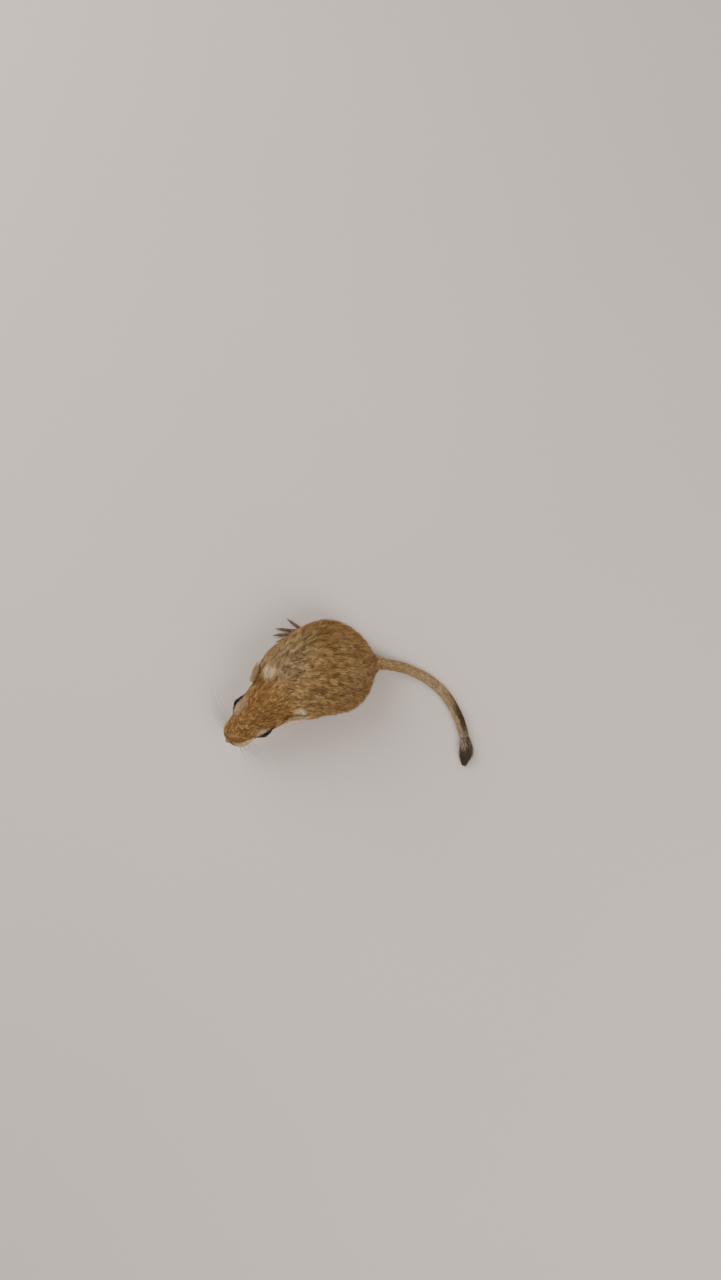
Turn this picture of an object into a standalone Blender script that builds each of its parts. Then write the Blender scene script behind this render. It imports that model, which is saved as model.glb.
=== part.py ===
"""A life-size still model of a young golden gerbil, crouching on a floor.

The head is turned to the animal's left and the tail curls round to the same
side. +Z is up, the animal faces -Y, and its left side is at +X. All sizes
are named in millimetres and turned into metres where the meshes are made.
The outer surfaces are those of the coat, not of the skin under it.
"""

import math
from collections import namedtuple

import bmesh
import bpy
from mathutils import Matrix, Vector

MM = 0.001
GAP = 0.3  # between two nodes that touch

# The plan of the body. Stations run from the rump to the shoulder at their
# own x and y, and then along the head's axis, back from the nose. Each one
# has its section turned towards the animal's left, in degrees.
Station = namedtuple("Station", "x y turn half_width top bottom widest")

HEAD_YAW = math.radians(23.6)  # the head is turned this far to its left
NOSE_X, NOSE_Y = 13.4, -73.1
HEADING = Vector((math.sin(HEAD_YAW), -math.cos(HEAD_YAW), 0.0))
HEAD_LEFT = Vector((-HEADING.y, HEADING.x, 0.0))


def behind_nose(distance, turn, half_width, top, bottom, widest):
    """A station of the head, at a distance behind the tip of the nose."""
    spot = Vector((NOSE_X, NOSE_Y, 0.0)) - HEADING * distance
    return Station(spot.x, spot.y, turn, half_width, top, bottom, widest)


STATIONS = [
    Station(-2.4, 0.9, -4.0, 19.8, 33.5, -1.5, 12.0),
    Station(-3.4, -7.0, -1.0, 20.4, 35.6, -1.2, 12.0),
    Station(-4.1, -15.0, 0.0, 20.8, 37.6, -0.8, 12.5),
    Station(-4.1, -22.5, 3.0, 20.8, 37.9, -0.6, 13.0),
    Station(-3.3, -29.0, 8.0, 20.1, 36.2, 0.2, 13.5),
    Station(-2.3, -35.5, 15.0, 18.9, 33.6, 1.6, 14.5),
    behind_nose(34.0, 20.5, 16.8, 31.6, 4.2, 15.5),
    behind_nose(29.0, 23.6, 13.2, 30.8, 6.4, 16.4),
    behind_nose(24.0, 23.6, 11.1, 30.3, 6.8, 16.8),
    behind_nose(19.5, 23.6, 10.1, 29.3, 7.0, 16.6),
    behind_nose(15.0, 23.6, 9.1, 27.5, 7.5, 15.8),
    behind_nose(10.0, 23.6, 7.9, 24.6, 8.3, 14.4),
    behind_nose(5.0, 23.6, 6.6, 21.1, 9.6, 13.6),
    behind_nose(0.0, 23.6, 5.2, 17.4, 11.3, 13.9),
]
RUMP_ROUNDING = 19.0  # length over which the rump closes to a point
RUMP_POLE_Z = 12.5
NOSE_ROUNDING = 3.3
NOSE_POLE_Z = 14.3
BACK_SQUARENESS = 2.05  # exponent of the section above its widest level
MUZZLE_SQUARENESS = 1.6  # the same over the muzzle
BELLY_SQUARENESS = 2.4  # the exponent below the widest level
JAW_SQUARENESS = 1.8  # the same under the head
RING_STEP_BODY = 3.0
RING_STEP_HEAD = 1.25
RING_POINTS = 30

# Swellings of the surface: distance behind the nose along the spine, height,
# reach along the spine, reach in height, and how far they stand out.
Swelling = namedtuple("Swelling", "behind z reach rise amount")
SWELLINGS = [
    Swelling(58.0, 13.0, 9.0, 10.0, 0.9),  # haunch
    Swelling(46.0, 8.0, 3.4, 9.0, -1.0),  # hollow of the flank
    Swelling(38.5, 12.0, 5.0, 9.0, 0.5),  # shoulder
    Swelling(29.0, 20.0, 2.6, 5.0, -0.5),  # hollow in front of the neck
    Swelling(22.5, 11.5, 4.2, 3.6, 0.8),  # cheek
    Swelling(10.4, 16.8, 2.4, 3.0, -0.5),  # hollow in front of the eye
    Swelling(4.6, 12.5, 2.8, 2.0, 0.85),  # whisker pad
    Swelling(7.0, 9.4, 3.6, 0.9, -0.45),  # under the upper lip
]

# Eyes, set on the sides of the head.
EYE_BEHIND = 16.2
EYE_Z = 19.6
EYE_SIDE = 7.15
EYE_RADIUS = 3.55
LID_THICKNESS = 0.5
ORBIT = Vector((6.3, 5.2, 3.7))  # the swelling round each eye, in the lids' own turn
ORBIT_DEPTH = 0.9  # how much deeper than the eye the swelling is centred
LID_OPENING = Vector((4.3, 3.4, 3.3))  # half sizes: long way, high, deep
LID_FLARE = math.radians(13.0)  # eyes look forward by this much
LID_TILT = math.radians(14.0)  # and upward by this much

# Ears
Ear = namedtuple("Ear", "behind side lean_out")
EARS = {
    "left": Ear(29.8, 13.3, 14.0),
    "right": Ear(29.8, 12.4, 13.0),
}
EAR_Z = 18.8
EAR_LENGTH = 13.2
EAR_WIDTH = 9.2
EAR_CUP = 1.9
EAR_THICKNESS = 0.75
EAR_LEAN_BACK = math.radians(9.0)
EAR_FACING = math.radians(62.0)  # the cup's opening, from straight ahead
EAR_OUTLINE = [0.44, 0.84, 1.0, 0.95, 0.74]  # half widths from root to tip
EAR_TIP_ROUNDING = 0.24

# Nose and mouth
NOSE_PAD = Vector((2.1, 1.8, 1.35))  # half sizes: deep, wide, high
NOSE_PAD_BEHIND = 1.4
NOSE_PAD_Z = 15.4
NOSTRIL_SIDE = 1.15
NOSTRIL_BEHIND = -0.3
NOSTRIL_Z = 15.25
CLEFT_WIDTH = 0.36
CLEFT_DEPTH = 0.7
MOUTH_BACK = 9.4
MOUTH_Z_FRONT = 12.3
MOUTH_Z_CORNER = 10.2
MOUTH_GROOVE = 0.32

# The short neck is the stretch between these two upright cuts.
NECK_FRONT = 31.5
NECK_BACK = 38.5

# Hind feet: heel and the root of the middle toe, one pair for each side.
Foot = namedtuple("Foot", "heel toes spread")
HIND_FEET = {
    "left": Foot(Vector((8.6, -13.5, 0.0)), Vector((10.6, -30.0, 0.0)), 0.55),
    "right": Foot(Vector((-20.4, -15.6, 0.0)), Vector((-24.6, -32.0, 0.0)), 1.0),
}
FOOT_HALF_WIDTH = 2.4
FOOT_HEIGHT = 3.8
FOOT_ROOM = 0.45  # clearance between a hind foot and the body over it
HIND_TOES = [  # side of the foot (outward), start, length, turn outward
    (2.1, -2.4, 4.6, 40.0),
    (1.4, 0.2, 5.8, 11.0),
    (0.0, 0.6, 6.6, 1.0),
    (-1.4, 0.2, 5.8, -9.0),
    (-2.0, -3.6, 3.4, -22.0),
]
TOE_RADIUS = 0.92
CLAW_LENGTH = 2.3
CLAW_RADIUS = 0.46

# Forelegs: elbow, wrist and the way that the paw points.
Arm = namedtuple("Arm", "elbow wrist paw_turn")
ARMS = {
    "left": Arm(Vector((10.6, -37.4, 8.4)), Vector((7.6, -47.6, 2.9)), 17.0),
    "right": Arm(Vector((-13.4, -43.0, 8.4)), Vector((-4.4, -51.6, 2.9)), 22.0),
}
ELBOW_RADIUS = 4.2
WRIST_RADIUS = 1.75
PALM_LENGTH = 3.6
PALM_HALF_WIDTH = 2.0
PALM_HEIGHT = 2.5
FORE_TOES = [
    (-1.25, 2.5, -26.0),
    (-0.45, 3.0, -8.0),
    (0.45, 3.0, 8.0),
    (1.25, 2.5, 26.0),
]
FORE_TOE_RADIUS = 0.62
FORE_CLAW_LENGTH = 1.5
FORE_CLAW_RADIUS = 0.32

# Haunches and upper arms are parted from the trunk by curved cuts.
Haunch = namedtuple("Haunch", "centre radii turn")
HAUNCHES = {
    "left": Haunch(Vector((14.6, -16.0, 12.6)), Vector((9.5, 11.8, 12.0)), -2.0),
    "right": Haunch(Vector((-21.2, -17.0, 12.6)), Vector((9.5, 11.8, 12.0)), 3.0),
}
SHOULDER_RADII = Vector((6.4, 6.3, 7.2))
SHOULDERS = {
    "left": Vector((13.8, -35.9, 11.4)),
    "right": Vector((-17.4, -41.0, 11.4)),
}

# The tail's route on the floor, from its root to the end of its bone.
TAIL_ROUTE = [
    Vector((-0.8, -2.6, 10.2)),
    Vector((0.7, 1.6, 8.5)),
    Vector((3.0, 6.4, 5.5)),
    Vector((5.4, 10.9, 3.4)),
    Vector((9.8, 16.7, 2.55)),
    Vector((15.6, 22.0, 2.5)),
    Vector((22.6, 26.1, 2.5)),
    Vector((30.8, 28.4, 2.5)),
    Vector((39.6, 29.1, 2.45)),
    Vector((48.3, 28.2, 2.2)),
    Vector((54.2, 25.9, 1.7)),
]
TAIL_RADII = [3.3, 2.9, 2.7, 2.65, 2.6, 2.6, 2.6, 2.55, 2.5, 2.25, 0.5]
TAIL_CUTS = [0.34, 0.62, 0.87]  # shares of the route where the tail is parted
TAIL_SIDES = 14
TAIL_STEPS = 46
# Rows of locks in the tuft: start along the tuft's core, how many around,
# length, and how far the tips stand off.
TUFT_ROWS = [
    (0.16, 9, 6.4, 1.15),
    (0.38, 8, 6.6, 1.0),
    (0.60, 7, 6.0, 0.6),
    (0.82, 4, 4.8, 0.25),
]
LOCK_WIDTH = 1.7
LOCK_THICKNESS = 0.7


def through(knots, values):
    """A smooth function that passes through the values and never overshoots."""
    steps = [b - a for a, b in zip(knots, knots[1:])]
    slopes = [(b - a) / s for a, b, s in zip(values, values[1:], steps)]
    tangents = [slopes[0]]
    for before, after in zip(slopes, slopes[1:]):
        flat = before * after <= 0
        tangents.append(0.0 if flat else 2 * before * after / (before + after))
    tangents.append(slopes[-1])

    def value(at):
        at = min(max(at, knots[0]), knots[-1])
        i = max(k for k in range(len(steps)) if knots[k] <= at or k == 0)
        t = (at - knots[i]) / steps[i]
        rise = values[i] * (2 * t**3 - 3 * t**2 + 1)
        rise += values[i + 1] * (3 * t**2 - 2 * t**3)
        bend = tangents[i] * (t**3 - 2 * t**2 + t)
        bend += tangents[i + 1] * (t**3 - t**2)
        return rise + bend * steps[i]

    return value


def curve_through(points, parts):
    """Evenly spaced points of a smooth path through the given ones."""
    knots = [0.0]
    for a, b in zip(points, points[1:]):
        knots.append(knots[-1] + (b - a).length)
    slopes = []
    for i in range(len(points)):
        before, after = max(i - 1, 0), min(i + 1, len(points) - 1)
        slopes.append((points[after] - points[before]) / (knots[after] - knots[before]))

    path = []
    for n in range(parts + 1):
        at = knots[-1] * n / parts
        i = max(k for k in range(len(points) - 1) if knots[k] <= at)
        span = knots[i + 1] - knots[i]
        t = (at - knots[i]) / span
        spot = points[i] * (2 * t**3 - 3 * t**2 + 1)
        spot += points[i + 1] * (3 * t**2 - 2 * t**3)
        spot += slopes[i] * (t**3 - 2 * t**2 + t) * span
        spot += slopes[i + 1] * (t**3 - t**2) * span
        path.append(spot)
    return path


def blended(first, last, share):
    """From the first value to the last as the share runs from 0 to 1."""
    return first + (last - first) * min(max(share, 0.0), 1.0)


class Trunk:
    """The outer surface of rump, back, neck and head, as one lofted form."""

    def __init__(self):
        self.spine = [Vector((s.x, s.y, 0.0)) for s in STATIONS]
        knots = [0.0]
        for a, b in zip(self.spine, self.spine[1:]):
            knots.append(knots[-1] + (b - a).length)
        self.length = knots[-1]
        self.measure = {
            name: through(knots, [getattr(s, name) for s in STATIONS])
            for name in Station._fields
        }

    def place(self, along):
        """The spine's point in plan at a distance from the rump."""
        return Vector((self.measure["x"](along), self.measure["y"](along), 0.0))

    def closing(self, along):
        """How far a section has closed towards the rump or the nose, 0 to 1."""
        size, pole = 1.0, None
        for room, reach, height in (
            (along, RUMP_ROUNDING, RUMP_POLE_Z),
            (self.length - along, NOSE_ROUNDING, NOSE_POLE_Z),
        ):
            if room < reach:
                size = math.sqrt(max(0.0, 1 - (1 - room / reach) ** 2))
                pole = height
        return size, pole

    def point(self, along, angle):
        """A point of the surface; angle 0 is the left side and 90 the back."""
        turn = math.radians(self.measure["turn"](along))
        left = Vector((math.cos(turn), math.sin(turn), 0.0))
        half_width = self.measure["half_width"](along)
        widest = self.measure["widest"](along)
        rising = math.sin(angle) >= 0
        edge = "top" if rising else "bottom"
        behind = self.length - along
        if rising:
            squareness = blended(MUZZLE_SQUARENESS, BACK_SQUARENESS, (behind - 3.0) / 12.0)
        else:
            squareness = blended(JAW_SQUARENESS, BELLY_SQUARENESS, (behind - 26.0) / 10.0)
        power = 2.0 / squareness
        side = math.copysign(abs(math.cos(angle)) ** power, math.cos(angle))
        height = abs(math.sin(angle)) ** power
        z = widest + (self.measure[edge](along) - widest) * height
        out = half_width
        for s in SWELLINGS:
            near = ((behind - s.behind) / s.reach) ** 2 + ((z - s.z) / s.rise) ** 2
            out += s.amount * math.exp(-near)
        size, pole = self.closing(along)
        if pole is not None:
            z = pole + (z - pole) * size
        return self.place(along) + left * side * out * size + Vector((0.0, 0.0, z))

    def stops(self):
        """Distances from the rump where the rings of the mesh stand."""
        head_from = self.length - NECK_FRONT - 3.0
        marks = []
        rounding = 9
        for i in range(1, rounding):
            marks.append(RUMP_ROUNDING * 0.8 * (1 - math.cos(math.pi / 2 * i / rounding)))
        while marks[-1] + RING_STEP_BODY < head_from:
            marks.append(marks[-1] + RING_STEP_BODY)
        head_to = self.length - NOSE_ROUNDING
        parts = round((head_to - head_from) / RING_STEP_HEAD)
        marks += [head_from + (head_to - head_from) * i / parts for i in range(parts)]
        for i in range(6):
            marks.append(head_to + NOSE_ROUNDING * math.sin(math.pi / 2 * i / 6))
        return marks

    def rings(self):
        turn = 2 * math.pi / RING_POINTS
        return [
            [self.point(along, turn * i) for i in range(RING_POINTS)]
            for along in self.stops()
        ]

    def poles(self):
        rump = self.place(0.0) + Vector((0.0, 0.0, RUMP_POLE_Z))
        nose = self.place(self.length) + Vector((0.0, 0.0, NOSE_POLE_Z))
        return rump, nose


def head_spot(behind, side, z):
    """A point given by its distance behind the nose, to the left, and up."""
    spot = Vector((NOSE_X, NOSE_Y, 0.0)) - HEADING * behind + HEAD_LEFT * side
    return spot + Vector((0.0, 0.0, z))


def head_turn():
    """The rotation that takes forward, left and up to the head's own."""
    return Matrix((-HEADING, -HEAD_LEFT, Vector((0, 0, 1)))).transposed().to_4x4()


def material(name, colour, roughness, metallic=0.0):
    """A plain finish with the part's colour."""
    made = bpy.data.materials.get(name) or bpy.data.materials.new(name)
    made.use_nodes = True
    shader = made.node_tree.nodes["Principled BSDF"]
    shader.inputs["Base Color"].default_value = (*colour, 1.0)
    shader.inputs["Roughness"].default_value = roughness
    shader.inputs["Metallic"].default_value = metallic
    return made


def collection(name):
    made = bpy.data.collections.new(name)
    bpy.context.scene.collection.children.link(made)
    return made


def face_outward(form):
    """Turns every face of a closed form outward."""
    bmesh.ops.recalc_face_normals(form, faces=form.faces)
    if form.calc_volume(signed=True) < 0:
        bmesh.ops.reverse_faces(form, faces=form.faces)


def as_object(name, form, group, finish=None):
    """Turns a bmesh in millimetres into an object in metres."""
    face_outward(form)
    bmesh.ops.scale(form, vec=(MM, MM, MM), verts=form.verts)
    mesh = bpy.data.meshes.new(name)
    form.to_mesh(mesh)
    form.free()
    if finish:
        mesh.materials.append(finish)
    made = bpy.data.objects.new(name, mesh)
    group.objects.link(made)
    return made


def loft(rings, first=None, last=None):
    """A closed form through rings of equal length, its ends run to points."""
    form = bmesh.new()
    rows = [[form.verts.new(p) for p in ring] for ring in rings]
    for a, b in zip(rows, rows[1:]):
        for i in range(len(a)):
            j = (i + 1) % len(a)
            form.faces.new((a[i], a[j], b[j], b[i]))
    for row, tip in ((rows[0], first), (rows[-1], last)):
        centre = sum((v.co for v in row), Vector()) / len(row)
        pole = form.verts.new(centre if tip is None else tip)
        for i in range(len(row)):
            form.faces.new((row[i], row[(i + 1) % len(row)], pole))
    return form


def rings_along(path, radii, sides, flatten=1.0):
    """Round or flattened sections along a path, with the way each one faces."""
    rings = []
    ways = []
    for i, spot in enumerate(path):
        before, after = path[max(i - 1, 0)], path[min(i + 1, len(path) - 1)]
        along = (after - before).normalized()
        across = along.cross(Vector((0, 0, 1))).normalized()
        upward = across.cross(along)
        ring = []
        for k in range(sides):
            turn = 2 * math.pi * k / sides
            out = across * math.cos(turn) + upward * math.sin(turn) * flatten
            ring.append(spot + out * radii[i])
        rings.append(ring)
        ways.append(along)
    return rings, ways


def tube(path, radii, sides, flatten=1.0):
    """A round or flattened tube along a path, with rounded ends."""
    rings, ways = rings_along(path, radii, sides, flatten)
    start = path[0] - ways[0] * radii[0] * 0.5
    end = path[-1] + ways[-1] * radii[-1] * 0.5
    return loft(rings, start, end)


def ellipsoid(centre, radii, turn=None, fine=24):
    form = bmesh.new()
    bmesh.ops.create_uvsphere(form, u_segments=fine, v_segments=fine // 2, radius=1.0)
    shape = Matrix.Diagonal((*radii, 1.0))
    place = Matrix.Translation(centre)
    bmesh.ops.transform(form, matrix=place @ (turn or Matrix()) @ shape, verts=form.verts)
    return form


def block(centre, size, turn=None):
    form = bmesh.new()
    bmesh.ops.create_cube(form, size=1.0)
    shape = Matrix.Diagonal((*size, 1.0))
    place = Matrix.Translation(centre)
    bmesh.ops.transform(form, matrix=place @ (turn or Matrix()) @ shape, verts=form.verts)
    return form


def boolean(target, cutter, operation):
    """Adds a Boolean modifier to the target and hides the cutter."""
    step = target.modifiers.new(operation.lower(), "BOOLEAN")
    step.operation = operation
    step.solver = "MANIFOLD"
    step.object = cutter
    cutter.hide_render = True
    cutter.display_type = "WIRE"
    return step


def settle(made):
    """Applies an object's modifiers and keeps its largest closed surface."""
    graph = bpy.context.evaluated_depsgraph_get()
    mesh = bpy.data.meshes.new_from_object(made.evaluated_get(graph))
    made.modifiers.clear()
    made.data = mesh
    form = bmesh.new()
    form.from_mesh(mesh)
    bmesh.ops.remove_doubles(form, verts=form.verts, dist=0.003 * MM)
    bmesh.ops.dissolve_degenerate(form, edges=form.edges, dist=0.002 * MM)
    left = set(form.faces)
    bodies = []
    while left:
        body, edge = set(), [left.pop()]
        while edge:
            face = edge.pop()
            body.add(face)
            for side in face.edges:
                for other in side.link_faces:
                    if other in left:
                        left.discard(other)
                        edge.append(other)
        bodies.append(body)
    largest = max(bodies, key=lambda body: sum(f.calc_area() for f in body))
    scraps = [f for f in form.faces if f not in largest]
    bmesh.ops.delete(form, geom=scraps, context="FACES")
    loose = [v for v in form.verts if not v.link_faces]
    bmesh.ops.delete(form, geom=loose, context="VERTS")
    face_outward(form)
    form.to_mesh(mesh)
    form.free()
    mesh.shade_smooth()
    mesh.set_sharp_from_angle(angle=math.radians(40))
    return made


def unite(name, forms, group, finish):
    """Joins closed forms into one by a single Boolean union."""
    pieces = collection(name + "_pieces")
    first = as_object(name, forms[0], group, finish)
    for i, form in enumerate(forms[1:]):
        as_object(f"{name}_piece_{i}", form, pieces, finish)
    join = first.modifiers.new("join", "BOOLEAN")
    join.operation = "UNION"
    join.solver = "MANIFOLD"
    join.operand_type = "COLLECTION"
    join.collection = pieces
    settle(first)
    for piece in list(pieces.objects):
        bpy.data.objects.remove(piece)
    bpy.data.collections.remove(pieces)
    return first


class Workshop:
    """Holds the two collections, the finishes and the cutting forms."""

    def __init__(self):
        self.parts = collection("gerbil")
        self.cutters = collection("cutters")
        self.coat = material("coat_golden", (0.33, 0.19, 0.085), 0.9)
        self.pale = material("coat_cream", (0.62, 0.5, 0.36), 0.9)
        self.skin = material("skin_pink", (0.6, 0.36, 0.29), 0.6)
        self.dark = material("coat_dark", (0.06, 0.04, 0.025), 0.85)
        self.eye = material("eye_black", (0.012, 0.006, 0.004), 0.08)
        self.trunk = Trunk()

    def cutter(self, name, form):
        made = as_object(name, form, self.cutters)
        made.hide_render = True
        made.display_type = "WIRE"
        return made

    def trunk_form(self):
        first, last = self.trunk.poles()
        return loft(self.trunk.rings(), first, last)

    def grown_trunk(self, name, amount):
        """The trunk made larger all round, to seat what grows from it."""
        made = self.cutter(name, self.trunk_form())
        grow = made.modifiers.new("grow", "DISPLACE")
        grow.strength = amount * MM
        grow.mid_level = 0.0
        return made

    def floor(self):
        deep, wide = 20.0, 300.0
        return self.cutter("floor", block(Vector((0, 0, -deep / 2)), (wide, wide, deep)))


def spine_cut(trunk, behind):
    """A place and turn for an upright cut across the spine."""
    along = trunk.length - behind
    here = trunk.place(along)
    yaw = math.radians(trunk.measure["turn"](along))
    forward = Vector((math.sin(yaw), -math.cos(yaw), 0.0))
    return here, forward, Matrix.Rotation(yaw, 4, "Z")


def half_space(trunk, behind, ahead, clearance):
    """A large block on one side of an upright cut across the spine."""
    size = 160.0
    here, forward, turn = spine_cut(trunk, behind)
    way = forward if ahead else -forward
    centre = here + way * (size / 2 + clearance)
    return block(centre, (size, size, size), turn)


def make_trunk_nodes(shop, floor):
    """Head, neck and torso, parted from one form by thin cuts."""
    trunk = shop.trunk
    half = GAP / 2
    cuts = {
        "ahead_of_neck": half_space(trunk, NECK_FRONT, True, -half),
        "behind_head": half_space(trunk, NECK_FRONT, False, -half),
        "ahead_of_torso": half_space(trunk, NECK_BACK, True, -half),
        "behind_neck": half_space(trunk, NECK_BACK, False, -half),
    }
    cuts = {name: shop.cutter(name, form) for name, form in cuts.items()}
    head = as_object("head", shop.trunk_form(), shop.parts, shop.coat)
    boolean(head, cuts["behind_head"], "DIFFERENCE")
    neck = as_object("neck", shop.trunk_form(), shop.parts, shop.coat)
    boolean(neck, cuts["ahead_of_neck"], "DIFFERENCE")
    boolean(neck, cuts["behind_neck"], "DIFFERENCE")
    torso = as_object("torso", shop.trunk_form(), shop.parts, shop.coat)
    boolean(torso, cuts["ahead_of_torso"], "DIFFERENCE")
    boolean(torso, floor, "DIFFERENCE")
    return head, neck, torso, cuts["ahead_of_neck"]


def lid_turn(side):
    """The rotation of an eye's opening: z looks out and x runs to the ear."""
    out = HEAD_LEFT * side * math.cos(LID_FLARE) + HEADING * math.sin(LID_FLARE)
    out = out * math.cos(LID_TILT) + Vector((0, 0, 1)) * math.sin(LID_TILT)
    back = (-HEADING - out * (-HEADING).dot(out)).normalized()
    return Matrix((back, out.cross(back), out)).transposed().to_4x4(), out


def eye_spot(side):
    return head_spot(EYE_BEHIND, side * EYE_SIDE, EYE_Z)


def mouth_line(trunk):
    """The groove of the mouth, along the surface from corner to corner."""
    front = 0.1
    while trunk.point(trunk.length - front, -math.pi / 2).z > MOUTH_Z_FRONT:
        front += 0.02
    spots = []
    parts = 12
    for i in range(-parts, parts + 1):
        share = abs(i) / parts
        behind = front + (MOUTH_BACK - front) * share**2
        z = MOUTH_Z_FRONT + (MOUTH_Z_CORNER - MOUTH_Z_FRONT) * share
        side = 1 if i >= 0 else -1
        spots.append(surface_spot(trunk, behind, side * min(1.0, share * 12), z))
    return tube(spots, [MOUTH_GROOVE] * len(spots), 6)


def surface_spot(trunk, behind, lean, z):
    """The surface's point at a height; lean -1 and 1 are the two sides."""
    along = trunk.length - behind
    low, high = (-math.pi / 2, math.pi / 2)
    for _ in range(30):
        middle = (low + high) / 2
        if trunk.point(along, middle).z < z:
            low = middle
        else:
            high = middle
    spot = trunk.point(along, low)
    here = trunk.place(along)
    out = spot - here
    out.z = 0.0
    mirrored = HEAD_LEFT * out.dot(HEAD_LEFT) * lean
    return here + mirrored + Vector((0, 0, z))


def finish_head(shop, head):
    """Nose pad, lids, eye sockets, nostrils, cleft lip and line of the mouth."""
    pad = ellipsoid(head_spot(NOSE_PAD_BEHIND, 0.0, NOSE_PAD_Z), NOSE_PAD, head_turn(), fine=14)
    boolean(head, shop.cutter("nose_pad", pad), "UNION")
    for side, name in ((1, "left"), (-1, "right")):
        turn, out = lid_turn(side)
        orbit = ellipsoid(eye_spot(side) - out * ORBIT_DEPTH, ORBIT, turn, fine=20)
        boolean(head, shop.cutter(f"orbit_{name}", orbit), "UNION")
        size = EYE_RADIUS + GAP + LID_THICKNESS
        lids = ellipsoid(eye_spot(side), [size] * 3, fine=20)
        boolean(head, shop.cutter(f"lids_{name}", lids), "UNION")
    for side, name in ((1, "left"), (-1, "right")):
        turn, out = lid_turn(side)
        room = ellipsoid(eye_spot(side), [EYE_RADIUS + GAP] * 3, fine=18)
        boolean(head, shop.cutter(f"socket_{name}", room), "DIFFERENCE")
        opening = ellipsoid(eye_spot(side) + out * EYE_RADIUS, LID_OPENING, turn, fine=18)
        boolean(head, shop.cutter(f"opening_{name}", opening), "DIFFERENCE")
        spot = head_spot(NOSTRIL_BEHIND, side * NOSTRIL_SIDE, NOSTRIL_Z)
        slant = head_turn() @ Matrix.Rotation(side * math.radians(48), 4, "Z")
        pit = ellipsoid(spot, (1.1, 0.3, 0.42), slant, fine=10)
        boolean(head, shop.cutter(f"nostril_{name}", pit), "DIFFERENCE")
    low, high = MOUTH_Z_FRONT, NOSE_PAD_Z - 0.4
    size = (CLEFT_DEPTH * 2, CLEFT_WIDTH, high - low)
    cleft = block(head_spot(0.3, 0.0, (low + high) / 2), size, head_turn())
    boolean(head, shop.cutter("cleft", cleft), "DIFFERENCE")
    boolean(head, shop.cutter("mouth", mouth_line(shop.trunk)), "DIFFERENCE")
    settle(head)


def make_eyes(shop):
    for side, name in ((1, "left"), (-1, "right")):
        ball = ellipsoid(eye_spot(side), [EYE_RADIUS] * 3, fine=16)
        made = as_object(f"eye_{name}", ball, shop.parts, shop.eye)
        made.data.shade_smooth()


def ear_form(side, ear):
    """A cupped ear: an oval dish, narrow at its root and rolled at its rim."""
    rows, across = 9, 11
    up = Vector((0, 0, 1))
    lean_out = math.radians(ear.lean_out)
    lean = up * math.cos(lean_out) + HEAD_LEFT * side * math.sin(lean_out)
    axis = (lean - HEADING * math.sin(EAR_LEAN_BACK)).normalized()
    facing = HEADING * math.cos(EAR_FACING) + HEAD_LEFT * side * math.sin(EAR_FACING)
    facing = (facing - axis * facing.dot(axis)).normalized()
    wide = axis.cross(facing)
    root = head_spot(ear.behind, side * ear.side, EAR_Z)
    outline = through([0.0, 0.3, 0.6, 0.85, 1.0], EAR_OUTLINE)
    form = bmesh.new()
    sheets = []
    for back in (0.0, EAR_THICKNESS):
        sheet = []
        for i in range(rows + 1):
            row = []
            for k in range(across + 1):
                over = 2 * k / across - 1
                rise = i / rows
                reach = rise - EAR_TIP_ROUNDING * over**2 * rise**2
                dish = EAR_CUP * (1 - over**2) * (1 - 0.75 * rise**2)
                thin = back * (1 - 0.45 * abs(over) ** 3) * (1 - 0.35 * rise)
                spot = root + axis * EAR_LENGTH * reach - facing * (dish + thin)
                spot += wide * EAR_WIDTH / 2 * outline(rise) * over
                row.append(form.verts.new(spot))
            sheet.append(row)
        sheets.append(sheet)
    front, rear = sheets
    for i in range(rows):
        for k in range(across):
            for sheet in (front, rear):
                a, b = sheet[i][k], sheet[i][k + 1]
                c, d = sheet[i + 1][k + 1], sheet[i + 1][k]
                form.faces.new((a, b, c))
                form.faces.new((a, c, d))
    rim = [(i, 0) for i in range(rows + 1)] + [(rows, k) for k in range(1, across + 1)]
    rim += [(i, across) for i in range(rows - 1, -1, -1)]
    rim += [(0, k) for k in range(across - 1, 0, -1)]
    for (i, k), (m, n) in zip(rim, rim[1:] + rim[:1]):
        form.faces.new((front[i][k], front[m][n], rear[m][n]))
        form.faces.new((front[i][k], rear[m][n], rear[i][k]))
    return form


def make_ears(shop, seat):
    for side, name in ((1, "left"), (-1, "right")):
        form = ear_form(side, EARS[name])
        ear = as_object(f"ear_{name}", form, shop.parts, shop.skin)
        boolean(ear, seat, "DIFFERENCE")
        settle(ear)


def claw(root, way, length, radius):
    """A claw that curves down to a fine point."""
    path = []
    parts = 3
    for i in range(parts + 1):
        share = i / parts
        drop = Vector((0, 0, -0.32 * length * share**2))
        path.append(root + way * length * share + drop)
    radii = [radius * (1 - 0.86 * i / parts) for i in range(parts + 1)]
    return tube(path, radii, 5)


def toe(root, way, length, radius):
    """A toe that arches a little between its root and its pad."""
    path = []
    parts = 4
    for i in range(parts + 1):
        share = i / parts
        arch = Vector((0, 0, 0.55 * math.sin(math.pi * share) - 0.25 * share))
        path.append(root + way * length * share + arch)
    radii = [radius * (1.0 - 0.22 * i / parts) for i in range(parts + 1)]
    return tube(path, radii, 7), path[-1]


def turned(way, degrees):
    return Matrix.Rotation(math.radians(degrees), 3, "Z") @ way


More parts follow.
